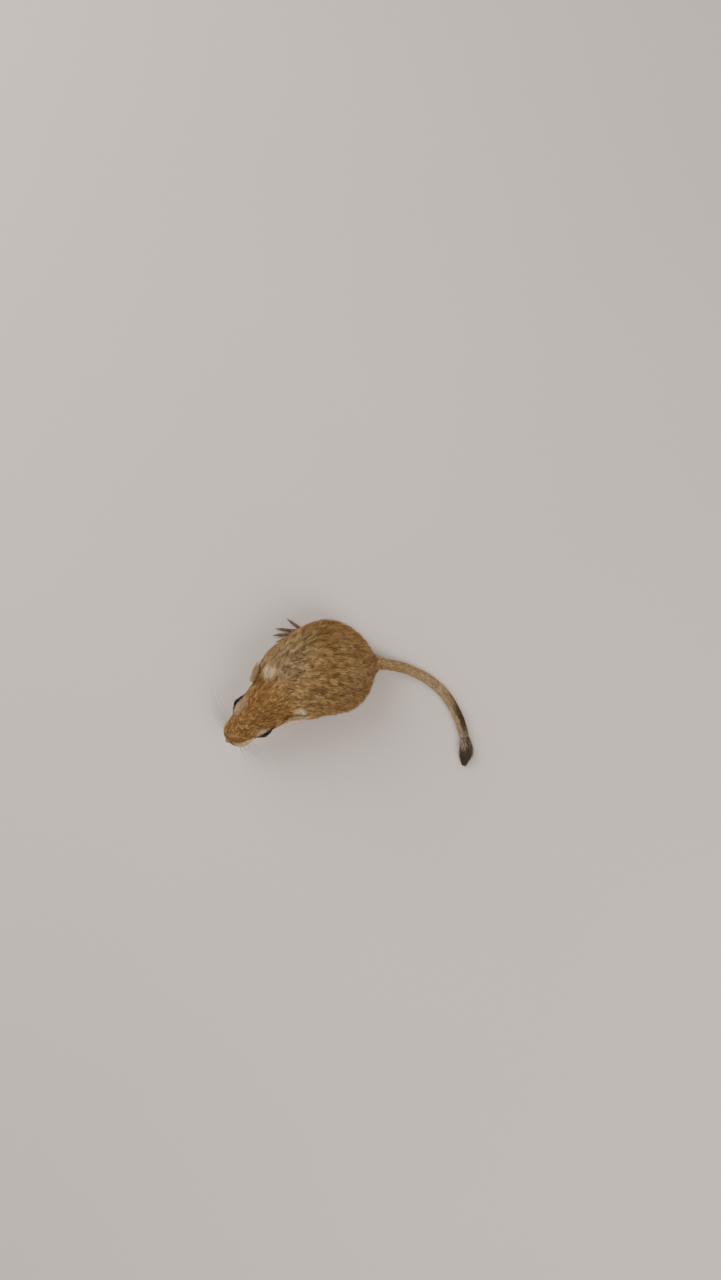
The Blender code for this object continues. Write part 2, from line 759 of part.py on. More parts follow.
def hind_foot_forms(foot, outward):
    """The long sole and five clawed toes of one hind foot."""
    way = (foot.toes - foot.heel).normalized()
    side = Vector((way.y, -way.x, 0.0)) * outward
    lift = Vector((0, 0, FOOT_HEIGHT * 0.46))
    parts = 6
    path = [foot.heel.lerp(foot.toes, i / parts) + lift for i in range(parts + 1)]
    swell = through([0.0, 0.15, 0.5, 0.85, 1.0], [0.72, 0.88, 0.8, 1.0, 0.86])
    radii = [FOOT_HALF_WIDTH * swell(i / parts) for i in range(parts + 1)]
    forms = [tube(path, radii, 12, flatten=0.8)]
    for across, start, length, turn in HIND_TOES:
        heading = turned(way, -turn * outward * foot.spread)
        root = foot.toes + side * across + way * (start - 1.6)
        root += Vector((0, 0, TOE_RADIUS + 0.35))
        form, tip = toe(root, heading, length + 1.6, TOE_RADIUS)
        forms.append(form)
        forms.append(claw(tip + Vector((0, 0, 0.12)), heading, CLAW_LENGTH, CLAW_RADIUS))
    return forms


def hull(forms):
    """The tightest convex form round several others."""
    form = bmesh.new()
    for other in forms:
        for vert in other.verts:
            form.verts.new(vert.co)
    made = bmesh.ops.convex_hull(form, input=form.verts)
    inside = made["geom_interior"] + made["geom_unused"]
    inside = {item for item in inside if isinstance(item, bmesh.types.BMVert)}
    bmesh.ops.delete(form, geom=list(inside), context="VERTS")
    return form


def make_hind_feet(shop, floor):
    """Both hind feet, and the room that each needs under the body."""
    rooms = []
    for name, foot in HIND_FEET.items():
        forms = hind_foot_forms(foot, -1 if name == "left" else 1)
        room = shop.cutter(f"room_for_foot_{name}", hull(forms))
        grow = room.modifiers.new("grow", "DISPLACE")
        grow.strength = FOOT_ROOM * MM
        grow.mid_level = 0.0
        rooms.append(room)
        made = unite(f"foot_hind_{name}", forms, shop.parts, shop.pale)
        boolean(made, floor, "DIFFERENCE")
        settle(made)
    return rooms


def paw_forms(arm):
    """The forearm, palm and four clawed toes of one foreleg."""
    way = turned(Vector((0, -1, 0)), arm.paw_turn)
    side = Vector((way.y, -way.x, 0.0))
    palm_from = Vector((arm.wrist.x, arm.wrist.y, PALM_HEIGHT * 0.45))
    path = [palm_from + way * PALM_LENGTH * i / 5 for i in range(6)]
    radii = [PALM_HALF_WIDTH * s for s in (0.78, 0.95, 1.0, 1.0, 0.92, 0.7)]
    forms = [tube(path, radii, 12, flatten=0.66)]
    for across, length, turn in FORE_TOES:
        heading = turned(way, -turn)
        root = palm_from + way * (PALM_LENGTH - 1.0) + side * across
        root.z = FORE_TOE_RADIUS + 0.25
        form, tip = toe(root, heading, length + 0.8, FORE_TOE_RADIUS)
        forms.append(form)
        tip = tip + Vector((0, 0, 0.08))
        forms.append(claw(tip, heading, FORE_CLAW_LENGTH, FORE_CLAW_RADIUS))
    return forms


def forearm_form(arm, grow=0.0):
    """The forearm from the elbow to the wrist."""
    parts = 8
    end = arm.wrist - Vector((0, 0, 0.4))
    path = [arm.elbow.lerp(end, i / parts) for i in range(parts + 1)]
    radii = []
    for i in range(parts + 1):
        share = i / parts
        radii.append(ELBOW_RADIUS + (WRIST_RADIUS - ELBOW_RADIUS) * share**0.8 + grow)
    return tube(path, radii, 14)


def make_forelegs(shop, floor):
    """Forepaws and forearms, and the room that the chest leaves for them."""
    rooms = []
    for name, arm in ARMS.items():
        made = unite(f"paw_{name}", paw_forms(arm), shop.parts, shop.pale)
        boolean(made, floor, "DIFFERENCE")
        wrist_room = shop.cutter(f"room_for_wrist_{name}", forearm_form(arm, GAP))
        boolean(made, wrist_room, "DIFFERENCE")
        settle(made)
        rooms.append(wrist_room)
    return rooms


def shoulder_form(name, grow=0.0):
    return ellipsoid(SHOULDERS[name], SHOULDER_RADII + Vector([grow] * 3))


def haunch_form(name, grow=0.0):
    haunch = HAUNCHES[name]
    turn = Matrix.Rotation(math.radians(haunch.turn), 4, "Z")
    return ellipsoid(haunch.centre, haunch.radii + Vector([grow] * 3), turn, fine=28)


def make_limbs(shop, trunk_nodes, floor, foot_rooms, arm_rooms):
    """Haunches and forelegs, parted from the trunk by curved cuts."""
    head, neck, torso, ahead_of_neck = trunk_nodes
    for name in ("left", "right"):
        cut = shop.cutter(f"haunch_cut_{name}", haunch_form(name, GAP))
        boolean(torso, cut, "DIFFERENCE")
        haunch = as_object(f"haunch_{name}", shop.trunk_form(), shop.parts, shop.coat)
        body = shop.cutter(f"haunch_body_{name}", haunch_form(name))
        boolean(haunch, body, "INTERSECT")
        boolean(haunch, floor, "DIFFERENCE")
        for room in foot_rooms:
            boolean(haunch, room, "DIFFERENCE")
        settle(haunch)
    for name, room in zip(ARMS, arm_rooms):
        cut = shop.cutter(f"shoulder_cut_{name}", shoulder_form(name, GAP))
        boolean(torso, cut, "DIFFERENCE")
        boolean(neck, cut, "DIFFERENCE")
        arm = as_object(f"foreleg_{name}", shop.trunk_form(), shop.parts, shop.coat)
        body = shop.cutter(f"shoulder_body_{name}", shoulder_form(name))
        boolean(arm, body, "INTERSECT")
        boolean(arm, ahead_of_neck, "DIFFERENCE")
        bone = shop.cutter(f"forearm_{name}", forearm_form(ARMS[name]))
        boolean(arm, bone, "UNION")
        boolean(arm, floor, "DIFFERENCE")
        settle(arm)
        for made in (torso, neck, head):
            boolean(made, room, "DIFFERENCE")
    for room in foot_rooms:
        boolean(torso, room, "DIFFERENCE")


def tail_path():
    return curve_through(TAIL_ROUTE, TAIL_STEPS)


def tail_radius():
    """The tail's radius as a function of the share of its route."""
    knots = [0.0]
    for a, b in zip(TAIL_ROUTE, TAIL_ROUTE[1:]):
        knots.append(knots[-1] + (b - a).length)
    return through([knot / knots[-1] for knot in knots], TAIL_RADII)


def lock(root, way, out, length, rise):
    """A flat tapered lock of hair that bends outward along its length."""
    across = way.cross(out).normalized()
    rings = []
    for share, swell in ((0.0, 0.75), (0.3, 1.0), (0.55, 0.9), (0.8, 0.55)):
        spot = root + way * length * share + out * rise * math.sin(share * 2.0)
        wide = across * LOCK_WIDTH / 2 * swell
        thick = out * LOCK_THICKNESS / 2 * swell
        rings.append([spot + wide, spot + thick, spot - wide, spot - thick])
    tip = root + way * length + out * rise * math.sin(2.0)
    return loft(rings, None, tip)


def tuft_forms(path, radii):
    """The locks of the tail's tuft, rooted in its core."""
    forms = []
    for row, (start, around, length, rise) in enumerate(TUFT_ROWS):
        at = start * (len(path) - 1)
        i = min(int(at), len(path) - 2)
        spot = path[i].lerp(path[i + 1], at - i)
        way = (path[i + 1] - path[i]).normalized()
        across = way.cross(Vector((0, 0, 1))).normalized()
        upward = across.cross(way)
        for k in range(around):
            turn = 2 * math.pi * (k + 0.5 * (row % 2)) / around
            out = across * math.cos(turn) + upward * math.sin(turn)
            depth = radii[i] * 0.55
            reach = length * (1.0 + 0.08 * math.sin(2.3 * k + row))
            forms.append(lock(spot + out * depth, way, out, reach, rise))
    return forms


def make_tail(shop, floor, seat):
    """The tail's lengths, flat where they meet, the last one with its locks."""
    path = tail_path()
    radius = tail_radius()
    radii = [radius(i / TAIL_STEPS) for i in range(TAIL_STEPS + 1)]
    rings, ways = rings_along(path, radii, TAIL_SIDES)
    marks = [0, *(round(share * TAIL_STEPS) for share in TAIL_CUTS), TAIL_STEPS]
    names = ["tail_root", "tail_middle", "tail_end", "tail_tuft"]
    for n, name in enumerate(names):
        first, last = marks[n], marks[n + 1]
        length = [list(ring) for ring in rings[first : last + 1]]
        if n > 0:
            length[0] = [p + ways[first] * GAP / 2 for p in length[0]]
        if n < 3:
            length[-1] = [p - ways[last] * GAP / 2 for p in length[-1]]
            made = as_object(name, loft(length), shop.parts, shop.coat)
        else:
            end = path[-1] + ways[-1] * radii[-1]
            core = loft(length, None, end)
            locks = tuft_forms(path[first:], radii[first:])
            made = unite(name, [core, *locks], shop.parts, shop.dark)
        if n == 0:
            boolean(made, seat, "DIFFERENCE")
        boolean(made, floor, "DIFFERENCE")
        settle(made)


def centre_on_floor(group):
    """Moves every part so that the model stands over the origin."""
    bpy.context.view_layer.update()
    graph = bpy.context.evaluated_depsgraph_get()
    corners = [
        made.evaluated_get(graph).matrix_world @ Vector(corner)
        for made in group.objects
        for corner in made.evaluated_get(graph).bound_box
    ]
    middle = Vector(
        [(min(c[i] for c in corners) + max(c[i] for c in corners)) / 2 for i in (0, 1)]
        + [0.0]
    )
    print("centre of the plan, in mm", [round(v / MM, 3) for v in middle])
    base = bpy.data.objects.new("gerbil_base", None)
    bpy.context.scene.collection.objects.link(base)
    base.location = -middle
    for made in group.objects:
        made.parent = base


def main():
    for old in list(bpy.data.objects):
        bpy.data.objects.remove(old)
    shop = Workshop()
    floor = shop.floor()
    seat = shop.grown_trunk("seat", GAP)
    trunk_nodes = make_trunk_nodes(shop, floor)
    head, neck, torso, _ = trunk_nodes
    foot_rooms = make_hind_feet(shop, floor)
    arm_rooms = make_forelegs(shop, floor)
    make_limbs(shop, trunk_nodes, floor, foot_rooms, arm_rooms)
    finish_head(shop, head)
    settle(neck)
    settle(torso)
    make_eyes(shop)
    make_ears(shop, seat)
    make_tail(shop, floor, seat)
    for made in list(shop.cutters.objects):
        bpy.data.objects.remove(made)
    centre_on_floor(shop.parts)


main()
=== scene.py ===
"""The looks of the young golden gerbil, laid over its solids.

One closed skin stands for all the flesh. The short coat grows from it as
thin solid tufts that follow the lie of the hair, with their tips on the
outline of the solids. Eyes, lid rims, claws, whiskers and the tail's brush
are pieces of their own. Sizes are in millimetres in the part's own plan,
in which the animal faces -Y and the floor is at 0, until a mesh is made.
"""

import math
from types import SimpleNamespace

import bmesh
import bpy
import numpy as np
from mathutils import Matrix, Vector
from mathutils.bvhtree import BVHTree
from mathutils.kdtree import KDTree


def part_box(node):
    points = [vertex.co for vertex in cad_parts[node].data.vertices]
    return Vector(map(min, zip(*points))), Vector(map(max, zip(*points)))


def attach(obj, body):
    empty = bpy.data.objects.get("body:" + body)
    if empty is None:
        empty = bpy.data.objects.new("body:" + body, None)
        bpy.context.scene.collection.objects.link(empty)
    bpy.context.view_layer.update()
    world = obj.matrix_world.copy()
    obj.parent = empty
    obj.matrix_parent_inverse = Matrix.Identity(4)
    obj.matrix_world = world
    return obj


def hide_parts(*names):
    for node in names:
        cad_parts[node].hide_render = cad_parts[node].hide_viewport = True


MM = 0.001
UP = np.array([0.0, 0.0, 1.0])
SIDES = {"left": 1, "right": -1}
BLOCK = 20000  # points measured at a time
SEED = 20

# The head's axis, and the plan of the spine from the rump to the nose:
# x, y, half width, top and bottom of the section.
HEAD_YAW = math.radians(23.6)
NOSE = np.array([13.4, -73.1, 0.0])
HEADING = np.array([math.sin(HEAD_YAW), -math.cos(HEAD_YAW), 0.0])
HEAD_LEFT = np.array([math.cos(HEAD_YAW), math.sin(HEAD_YAW), 0.0])
BODY_SECTIONS = [
    (-2.4, 0.9, 19.8, 33.5, -1.5),
    (-3.4, -7.0, 20.4, 35.6, -1.2),
    (-4.1, -15.0, 20.8, 37.6, -0.8),
    (-4.1, -22.5, 20.8, 37.9, -0.6),
    (-3.3, -29.0, 20.1, 36.2, 0.2),
    (-2.3, -35.5, 18.9, 33.6, 1.6),
]
HEAD_SECTIONS = [  # distance behind the nose, half width, top, bottom
    (34.0, 16.8, 31.6, 4.2),
    (29.0, 13.2, 30.8, 6.4),
    (24.0, 11.1, 30.3, 6.8),
    (19.5, 10.1, 29.3, 7.0),
    (15.0, 9.1, 27.5, 7.5),
    (10.0, 7.9, 24.6, 8.3),
    (5.0, 6.6, 21.1, 9.6),
    (0.0, 5.2, 17.4, 11.3),
]

EYE_BEHIND, EYE_SIDE, EYE_Z, EYE_RADIUS = 16.2, 7.15, 19.6, 3.55
LID_OPENING = np.array([4.3, 3.4, 3.3])
LID_FLARE, LID_TILT = math.radians(13.0), math.radians(14.0)
LID_OUT, LID_DOWN = 0.40, 0.45  # how far the lid's top edge is drawn over the eye
RIM_SPOTS, RIM_SIDES, RIM_LIFT = 48, 8, 0.42
RIM_HALF_WIDTH, RIM_HALF_HEIGHT = 0.2, 0.17
NOSE_PAD, NOSE_PAD_BEHIND, NOSE_PAD_Z = np.array([2.1, 1.8, 1.35]), 1.4, 15.4
NOSTRIL_BEHIND, NOSTRIL_SIDE, NOSTRIL_Z = -0.3, 1.15, 15.25
NOSTRIL = np.array([1.0, 0.42, 0.5])  # half sizes: deep, wide, high
NOSTRIL_SLANT = math.radians(48.0)
NOSTRIL_DEPTH, CREASE_DEPTH = 0.55, 0.30
MOUTH_FRONT, MOUTH_BACK, MOUTH_Z_FRONT, MOUTH_Z_CORNER = 0.4, 9.4, 12.3, 10.2

EARS = {"left": (29.8, 13.3, 14.0), "right": (29.8, 12.4, 13.0)}  # behind the nose, aside, lean
EAR_Z, EAR_LENGTH = 18.8, 13.2
EAR_LEAN_BACK, EAR_FACING = math.radians(9.0), math.radians(62.0)

HIND_FEET = {  # heel, root of the middle toe, spread of the toes, outward
    "left": ((8.6, -13.5, 0.0), (10.6, -30.0, 0.0), 0.55, -1),
    "right": ((-20.4, -15.6, 0.0), (-24.6, -32.0, 0.0), 1.0, 1),
}
HIND_TOES = [  # place across the foot, start, length, turn
    (2.1, -2.4, 4.6, 40.0),
    (1.4, 0.2, 5.8, 11.0),
    (0.0, 0.6, 6.6, 1.0),
    (-1.4, 0.2, 5.8, -9.0),
    (-2.0, -3.6, 3.4, -22.0),
]
ARMS = {  # elbow, wrist, turn of the paw
    "left": ((10.6, -37.4, 8.4), (7.6, -47.6, 2.9), 17.0),
    "right": ((-13.4, -43.0, 8.4), (-4.4, -51.6, 2.9), 22.0),
}
FORE_TOES = [  # place across the palm, length, turn
    (-1.25, 2.5, -26.0),
    (-0.45, 3.0, -8.0),
    (0.45, 3.0, 8.0),
    (1.25, 2.5, 26.0),
]

HIND_TOE_Z, FORE_TOE_Z = 1.27, 0.87
HIND_TOE_DROP, FORE_TOE_DROP = 0.13, 0.17
HIND_CLAW_LENGTH, HIND_CLAW_RADIUS = 2.75, 0.50
FORE_CLAW_LENGTH, FORE_CLAW_RADIUS = 1.8, 0.35

TAIL_ROUTE = np.array([
    (-0.8, -2.6, 10.2),
    (0.7, 1.6, 8.5),
    (3.0, 6.4, 5.5),
    (5.4, 10.9, 3.4),
    (9.8, 16.7, 2.55),
    (15.6, 22.0, 2.5),
    (22.6, 26.1, 2.5),
    (30.8, 28.4, 2.5),
    (39.6, 29.1, 2.45),
    (48.3, 28.2, 2.2),
    (54.2, 25.9, 1.7),
])
TAIL_LENGTH = 72.1  # along the route
BRUSH_HAIRS = 2600
BRUSH_START, BRUSH_SPAN = 0.845, 0.145  # shares of the tail's route

SWEEP = np.array([0.301, 0.954, 0.0])  # the lie of the hair over the back
SWEEP_ACROSS = np.array([0.954, -0.301, 0.0])

BEHIND_NOSE = [0, 3, 6, 10, 15, 20, 25, 30, 36, 45, 60, 76]  # places of the next three rows
HAIR_LENGTH = [0.5, 0.72, 0.9, 1.15, 1.5, 1.95, 2.5, 3.1, 3.8, 4.4, 4.8, 5.0]
COAT_DEPTH = [0.08, 0.14, 0.22, 0.34, 0.5, 0.7, 0.95, 1.25, 1.6, 1.85, 2.0, 2.0]
COAT_DENSITY = [42, 42, 40, 36, 30, 25, 21.5, 19.5, 18.5, 18.5, 18.5, 18.5]  # tufts per mm2
FOOT_COAT, PAW_COAT = (0.9, 0.10, 15.0), (0.6, 0.06, 22.0)  # length, depth, density
ARM_DENSITY, TAIL_DENSITY, TUFT_DENSITY = 24.0, 14.0, 8.0
EAR_COAT_DEPTH, TAIL_COAT_DEPTH = 0.05, 0.55
TUFT_LENGTHS = [0.5, 1.0, 2.0, 3.5, 5.0]
TUFT_WIDTHS = [0.08, 0.105, 0.155, 0.20, 0.225]
EAR_TUFT_WIDTH = 0.062
TUFT_PATCH = 0.003  # size of a tuft's patch on the bake map
SKIN_OFF_FLOOR, TUFT_OFF_FLOOR = 0.02, 0.03
PATCHES_BEHIND_EARS = ((-8.6, -45.5), (12.7, -38.4))

# How many times each field is evened out over the skin.
EVENED = {
    "length": 10, "depth": 14, "dense": 3, "bare": 1, "pale": 2, "warm": 6, "grey": 6,
    "dark": 1, "white": 3, "snout": 2,
}
PICKED = (
    "length", "depth", "pale", "white", "warm", "grey", "dark", "body", "tail", "ear", "foot",
    "limb", "behind", "level", "side", "share",
)

# Where the coat is parted into pieces, behind the nose.
FACE_END, HEAD_END = 17, 31
BACK_PIECES = (("shoulders", HEAD_END, 46), ("flank", 46, 62), ("rump", 62, math.inf))

FLESH = [
    "torso", "neck", "head", "ear_left", "ear_right", "haunch_left",
    "haunch_right", "foot_hind_left", "foot_hind_right", "foreleg_left",
    "foreleg_right", "paw_left", "paw_right", "tail_root", "tail_middle",
    "tail_end", "tail_tuft",
]
SWOLLEN = {"torso", "neck", "haunch_left", "haunch_right", "foreleg_left",
           "foreleg_right", "tail_root", "tail_middle", "tail_end"}
SWELL = 0.22  # how far touching lengths are swollen to close their gaps
EAR_SWELL = 0.08
SKIN_GRID = 0.21
SKIN_SHARE = 0.231  # share of the fine grid's triangles that the skin keeps
THIN_BODY, THIN_TAIL, THIN_DETAIL = 0.72, 0.45, 0.12  # how readily the grid is thinned


# Small helpers


def unit(v):
    return v / np.maximum(np.linalg.norm(v, axis=-1, keepdims=True), 1e-12)


def smooth(low, high, x):
    """0 below low, 1 above high, with soft ends; low may be the larger."""
    t = np.clip((x - low) / (high - low), 0.0, 1.0)
    return t * t * (3 - 2 * t)


def bump(distance, reach):
    return np.exp(-((distance / reach) ** 2))


def head_spot(behind, side, z):
    return NOSE - HEADING * behind + HEAD_LEFT * side + UP * z


def turned(way, degrees):
    a = math.radians(degrees)
    x, y, z = way
    return np.array([x * math.cos(a) - y * math.sin(a), x * math.sin(a) + y * math.cos(a), z])


def arrays_of(mesh):
    """A mesh's vertices in millimetres of the plan, and its triangles."""
    verts = np.empty(len(mesh.vertices) * 3, np.float32)
    mesh.vertices.foreach_get("co", verts)
    mesh.calc_loop_triangles()
    faces = np.empty(len(mesh.loop_triangles) * 3, np.int32)
    mesh.loop_triangles.foreach_get("vertices", faces)
    return verts.reshape(-1, 3).astype(float) / MM + SHIFT, faces.reshape(-1, 3)


def mesh_from(name, verts, faces):
    """A mesh in metres from triangles in millimetres of the plan."""
    mesh = bpy.data.meshes.new(name)
    mesh.vertices.add(len(verts))
    mesh.vertices.foreach_set("co", ((verts - SHIFT) * MM).astype(np.float32).ravel())
    mesh.loops.add(len(faces) * 3)
    mesh.loops.foreach_set("vertex_index", faces.astype(np.int32).ravel())
    mesh.polygons.add(len(faces))
    mesh.polygons.foreach_set("loop_start", np.arange(len(faces), dtype=np.int32) * 3)
    mesh.polygons.foreach_set("use_smooth", np.ones(len(faces), bool))
    mesh.update(calc_edges=True)
    return mesh


def piece_from(name, verts, faces, material):
    made = bpy.data.objects.new(name, mesh_from(name, verts, faces))
    bpy.context.scene.collection.objects.link(made)
    made.data.materials.append(material)
    return made


def store(mesh, name, values):
    """Keeps one number for each vertex as an attribute of the mesh."""
    layer = mesh.attributes.new(name, "FLOAT", "POINT")
    layer.data.foreach_set("value", np.asarray(values, np.float32).ravel())


def normals_of(verts, faces):
    a, b, c = (verts[faces[:, i]] for i in range(3))
    face = np.cross(b - a, c - a)
    out = np.zeros_like(verts)
    for i in range(3):
        for k in range(3):
            out[:, k] += np.bincount(faces[:, i], face[:, k], len(verts))
    return unit(out), np.linalg.norm(face, axis=1) / 2


def edges_of(faces):
    ends = np.concatenate([faces[:, [0, 1]], faces[:, [1, 2]], faces[:, [2, 0]]])
    return np.unique(np.sort(ends, axis=1), axis=0)


def spread(values, edges, turns, hold=None):
    """Values averaged with their neighbours' along the edges, a few times."""
    values = np.array(values, float)
    flat = values.ndim == 1
    if flat:
        values = values[:, None]
    count = np.bincount(edges.ravel(), minlength=len(values)).astype(float)[:, None]
    share = 0.5 if hold is None else 0.5 * (1 - np.asarray(hold, float))[:, None]
    for _ in range(turns):
        total = np.empty_like(values)
        for k in range(values.shape[1]):
            total[:, k] = np.bincount(edges[:, 0], values[edges[:, 1], k], len(values))
            total[:, k] += np.bincount(edges[:, 1], values[edges[:, 0], k], len(values))
        values = values + share * (total / np.maximum(count, 1) - values)
    return values[:, 0] if flat else values


def tube(path, radii, sides):
    """A closed round tube along a path that ends in points."""
    path = np.asarray(path, float)
    way = unit(np.gradient(path, axis=0))
    across = unit(np.cross(way, UP + 1e-3))
    upward = np.cross(across, way)
    turn = 2 * math.pi * np.arange(sides) / sides
    ring = np.cos(turn)[:, None] * across[:, None] + np.sin(turn)[:, None] * upward[:, None]
    ring = path[:, None] + ring * np.asarray(radii, float)[:, None, None]
    verts = ring.reshape(-1, 3)
    ends = np.array([path[0] - way[0] * radii[0] * 0.5, path[-1] + way[-1] * radii[-1] * 0.5])
    faces = []
    for i in range(len(path) - 1):
        for k in range(sides):
            a, b = i * sides + k, i * sides + (k + 1) % sides
            c, d = b + sides, a + sides
            faces += [(a, b, c), (a, c, d)]
    first, last = len(verts), len(verts) + 1
    tail = (len(path) - 1) * sides
    for k in range(sides):
        faces.append((first, (k + 1) % sides, k))
        faces.append((last, tail + k, tail + (k + 1) % sides))
    verts = np.concatenate([verts, ends])
    faces = np.array(faces)
    a, b, c = (verts[faces[:, i]] for i in range(3))
    if np.einsum("ij,ij->i", a, np.cross(b, c)).sum() < 0:
        faces = faces[:, ::-1]
    return verts, faces


def ball(centre, radii, across=16):
    """A closed ellipsoid with poles above and below."""
    rows = across // 2
    a = np.pi * (np.arange(1, rows)) / rows
    t = 2 * np.pi * np.arange(across) / across
    ring = np.stack([
        np.sin(a)[:, None] * np.cos(t), np.sin(a)[:, None] * np.sin(t),
        np.cos(a)[:, None] * np.ones_like(t),
    ], axis=-1).reshape(-1, 3)
    verts = np.concatenate([ring, [[0, 0, 1]], [[0, 0, -1]]])
    faces = []
    for i in range(rows - 2):
        for k in range(across):
            p, q = i * across + k, i * across + (k + 1) % across
            faces += [(p, p + across, q + across), (p, q + across, q)]
    top, bottom = len(ring), len(ring) + 1
    last = (rows - 2) * across
    for k in range(across):
        faces.append((top, k, (k + 1) % across))
        faces.append((bottom, last + (k + 1) % across, last + k))
    return verts * np.asarray(radii) + centre, np.array(faces)


def joined(forms):
    verts, faces, start = [], [], 0
    for v, f in forms:
        verts.append(v)
        faces.append(f + start)
        start += len(v)
    return np.concatenate(verts), np.concatenate(faces)


# Charts of the body


class Chart:
    """Where a point lies along the spine, across it and up it."""

    def __init__(self):
        rows = list(BODY_SECTIONS)
        for behind, w, t, b in HEAD_SECTIONS:
            spot = NOSE - HEADING * behind
            rows.append((spot[0], spot[1], w, t, b))
        rows = np.array(rows)
        steps = np.linalg.norm(np.diff(rows[:, :2], axis=0), axis=1)
        knots = np.concatenate([[0.0], np.cumsum(steps)])
        marks = np.linspace(0, knots[-1], 220)
        self.rows = np.stack([np.interp(marks, knots, rows[:, k]) for k in range(5)], axis=1)
        self.behind = knots[-1] - marks
        way = -np.gradient(self.rows[:, :2], axis=0)
        for _ in range(12):
            way[1:-1] = (way[:-2] + 2 * way[1:-1] + way[2:]) / 4
        self.back = unit(way)

    def read(self, p):
        best = np.empty(len(p), int)
        for i in range(0, len(p), BLOCK):
            part = p[i : i + BLOCK, None, :2] - self.rows[None, :, :2]
            best[i : i + BLOCK] = np.argmin((part**2).sum(-1), axis=1)
        row = self.rows[best]
        back = np.concatenate([self.back[best], np.zeros((len(p), 1))], axis=1)
        off = p[:, :2] - row[:, :2]
        side = off[:, 0] * back[:, 1] - off[:, 1] * back[:, 0]
        past = (off * back[:, :2]).sum(-1)
        level = (p[:, 2] - row[:, 4]) / (row[:, 3] - row[:, 4])
        return self.behind[best] + past, side, level, side / row[:, 2], back


def curve_through(points, parts):
    """Evenly spaced points of a smooth path through the given ones."""
    points = np.asarray(points, float)
    knots = np.concatenate([[0.0], np.cumsum(np.linalg.norm(np.diff(points, axis=0), axis=1))])
    slopes = []
    for i in range(len(points)):
        before, after = max(i - 1, 0), min(i + 1, len(points) - 1)
        slopes.append((points[after] - points[before]) / (knots[after] - knots[before]))
    path = []
    for at in np.linspace(0, knots[-1], parts + 1):
        i = min(int(np.searchsorted(knots, at, side="right")) - 1, len(points) - 2)
        span = knots[i + 1] - knots[i]
        t = (at - knots[i]) / span
        spot = points[i] * (2 * t**3 - 3 * t**2 + 1) + points[i + 1] * (3 * t**2 - 2 * t**3)
        spot = spot + slopes[i] * (t**3 - 2 * t**2 + t) * span
        path.append(spot + slopes[i + 1] * (t**3 - t**2) * span)
    return np.array(path)


def tail_read(p, path):
    """Share of the tail's route, the way to its tip and the way out of it."""
    best = np.empty(len(p), int)
    for i in range(0, len(p), BLOCK):
        part = p[i : i + BLOCK, None] - path[None]
        best[i : i + BLOCK] = np.argmin((part**2).sum(-1), axis=1)
    way = unit(np.gradient(path, axis=0))[best]
    out = p - path[best]
    out = unit(out - way * (out * way).sum(-1, keepdims=True))
    return best / (len(path) - 1), way, out


def tail_marks(p, path, waver=0.0):
    """How dark, pale and white the tail is: its crest and the stretch before its brush."""
    share, way, out = tail_read(p, path)
    aside = unit(np.stack([-way[:, 1], way[:, 0], np.zeros(len(p))], axis=1))
    over = (out * (UP * 0.62 + aside * 0.78)).sum(-1) + waver
    ridge = smooth(0.32, 0.56, over) * smooth(0.52, 0.66, share + 0.12 * (over - 1) + 0.3 * waver)
    edge = smooth(0.0, 0.5, (out * aside).sum(-1) + waver)
    thin = smooth(0.775, 0.82, share + 0.25 * waver)
    clump = smooth(0.865, 0.89, share) * smooth(0.93, 0.905, share)
    dark = ridge * (1 - thin) + thin * (0.42 + edge * (0.34 + 0.22 * clump))
    return 0.88 * dark, 0.24 + 0.20 * thin, 0.8 * thin


def eye_frame(side):
    """An eye's centre, the way it looks, the way to the ear and the way up."""
    centre = head_spot(EYE_BEHIND, side * EYE_SIDE, EYE_Z)
    out = HEAD_LEFT * side * math.cos(LID_FLARE) + HEADING * math.sin(LID_FLARE)
    out = out * math.cos(LID_TILT) + UP * math.sin(LID_TILT)
    back = unit(-HEADING - out * (-HEADING).dot(out))
    return centre, out, back, np.cross(out, back)


def ear_frame(name):
    """An ear's root, the way to its tip and the way its cup faces."""
    behind, side, lean_out = EARS[name]
    hand = SIDES[name]
    lean = math.radians(lean_out)
    axis = UP * math.cos(lean) + HEAD_LEFT * hand * math.sin(lean)
    axis = unit(axis - HEADING * math.sin(EAR_LEAN_BACK))
    facing = HEADING * math.cos(EAR_FACING) + HEAD_LEFT * hand * math.sin(EAR_FACING)
    facing = unit(facing - axis * facing.dot(axis))
    return head_spot(behind, hand * side, EAR_Z), axis, facing


# The skin


def swollen(node, name):
    """A node's merged copy, swollen where it has to meet its neighbours."""
    form = bmesh.new()
    form.from_mesh(node.data)
    bmesh.ops.remove_doubles(form, verts=form.verts, dist=1e-6)
    form.normal_update()
    for v in form.verts:
        amount = SWELL if name in SWOLLEN else 0.0
        if name == "head":
            spot = np.array(v.co) / MM + SHIFT
            behind = float((NOSE - spot)[:2] @ HEADING[:2])
            amount = SWELL * float(smooth(26.5, 30.5, behind))
        if name.startswith("ear"):
            amount = EAR_SWELL
        v.co += v.normal * amount * MM
    mesh = bpy.data.meshes.new("piece")
    form.to_mesh(mesh)
    form.free()
    made = arrays_of(mesh)
    bpy.data.meshes.remove(mesh)
    return made


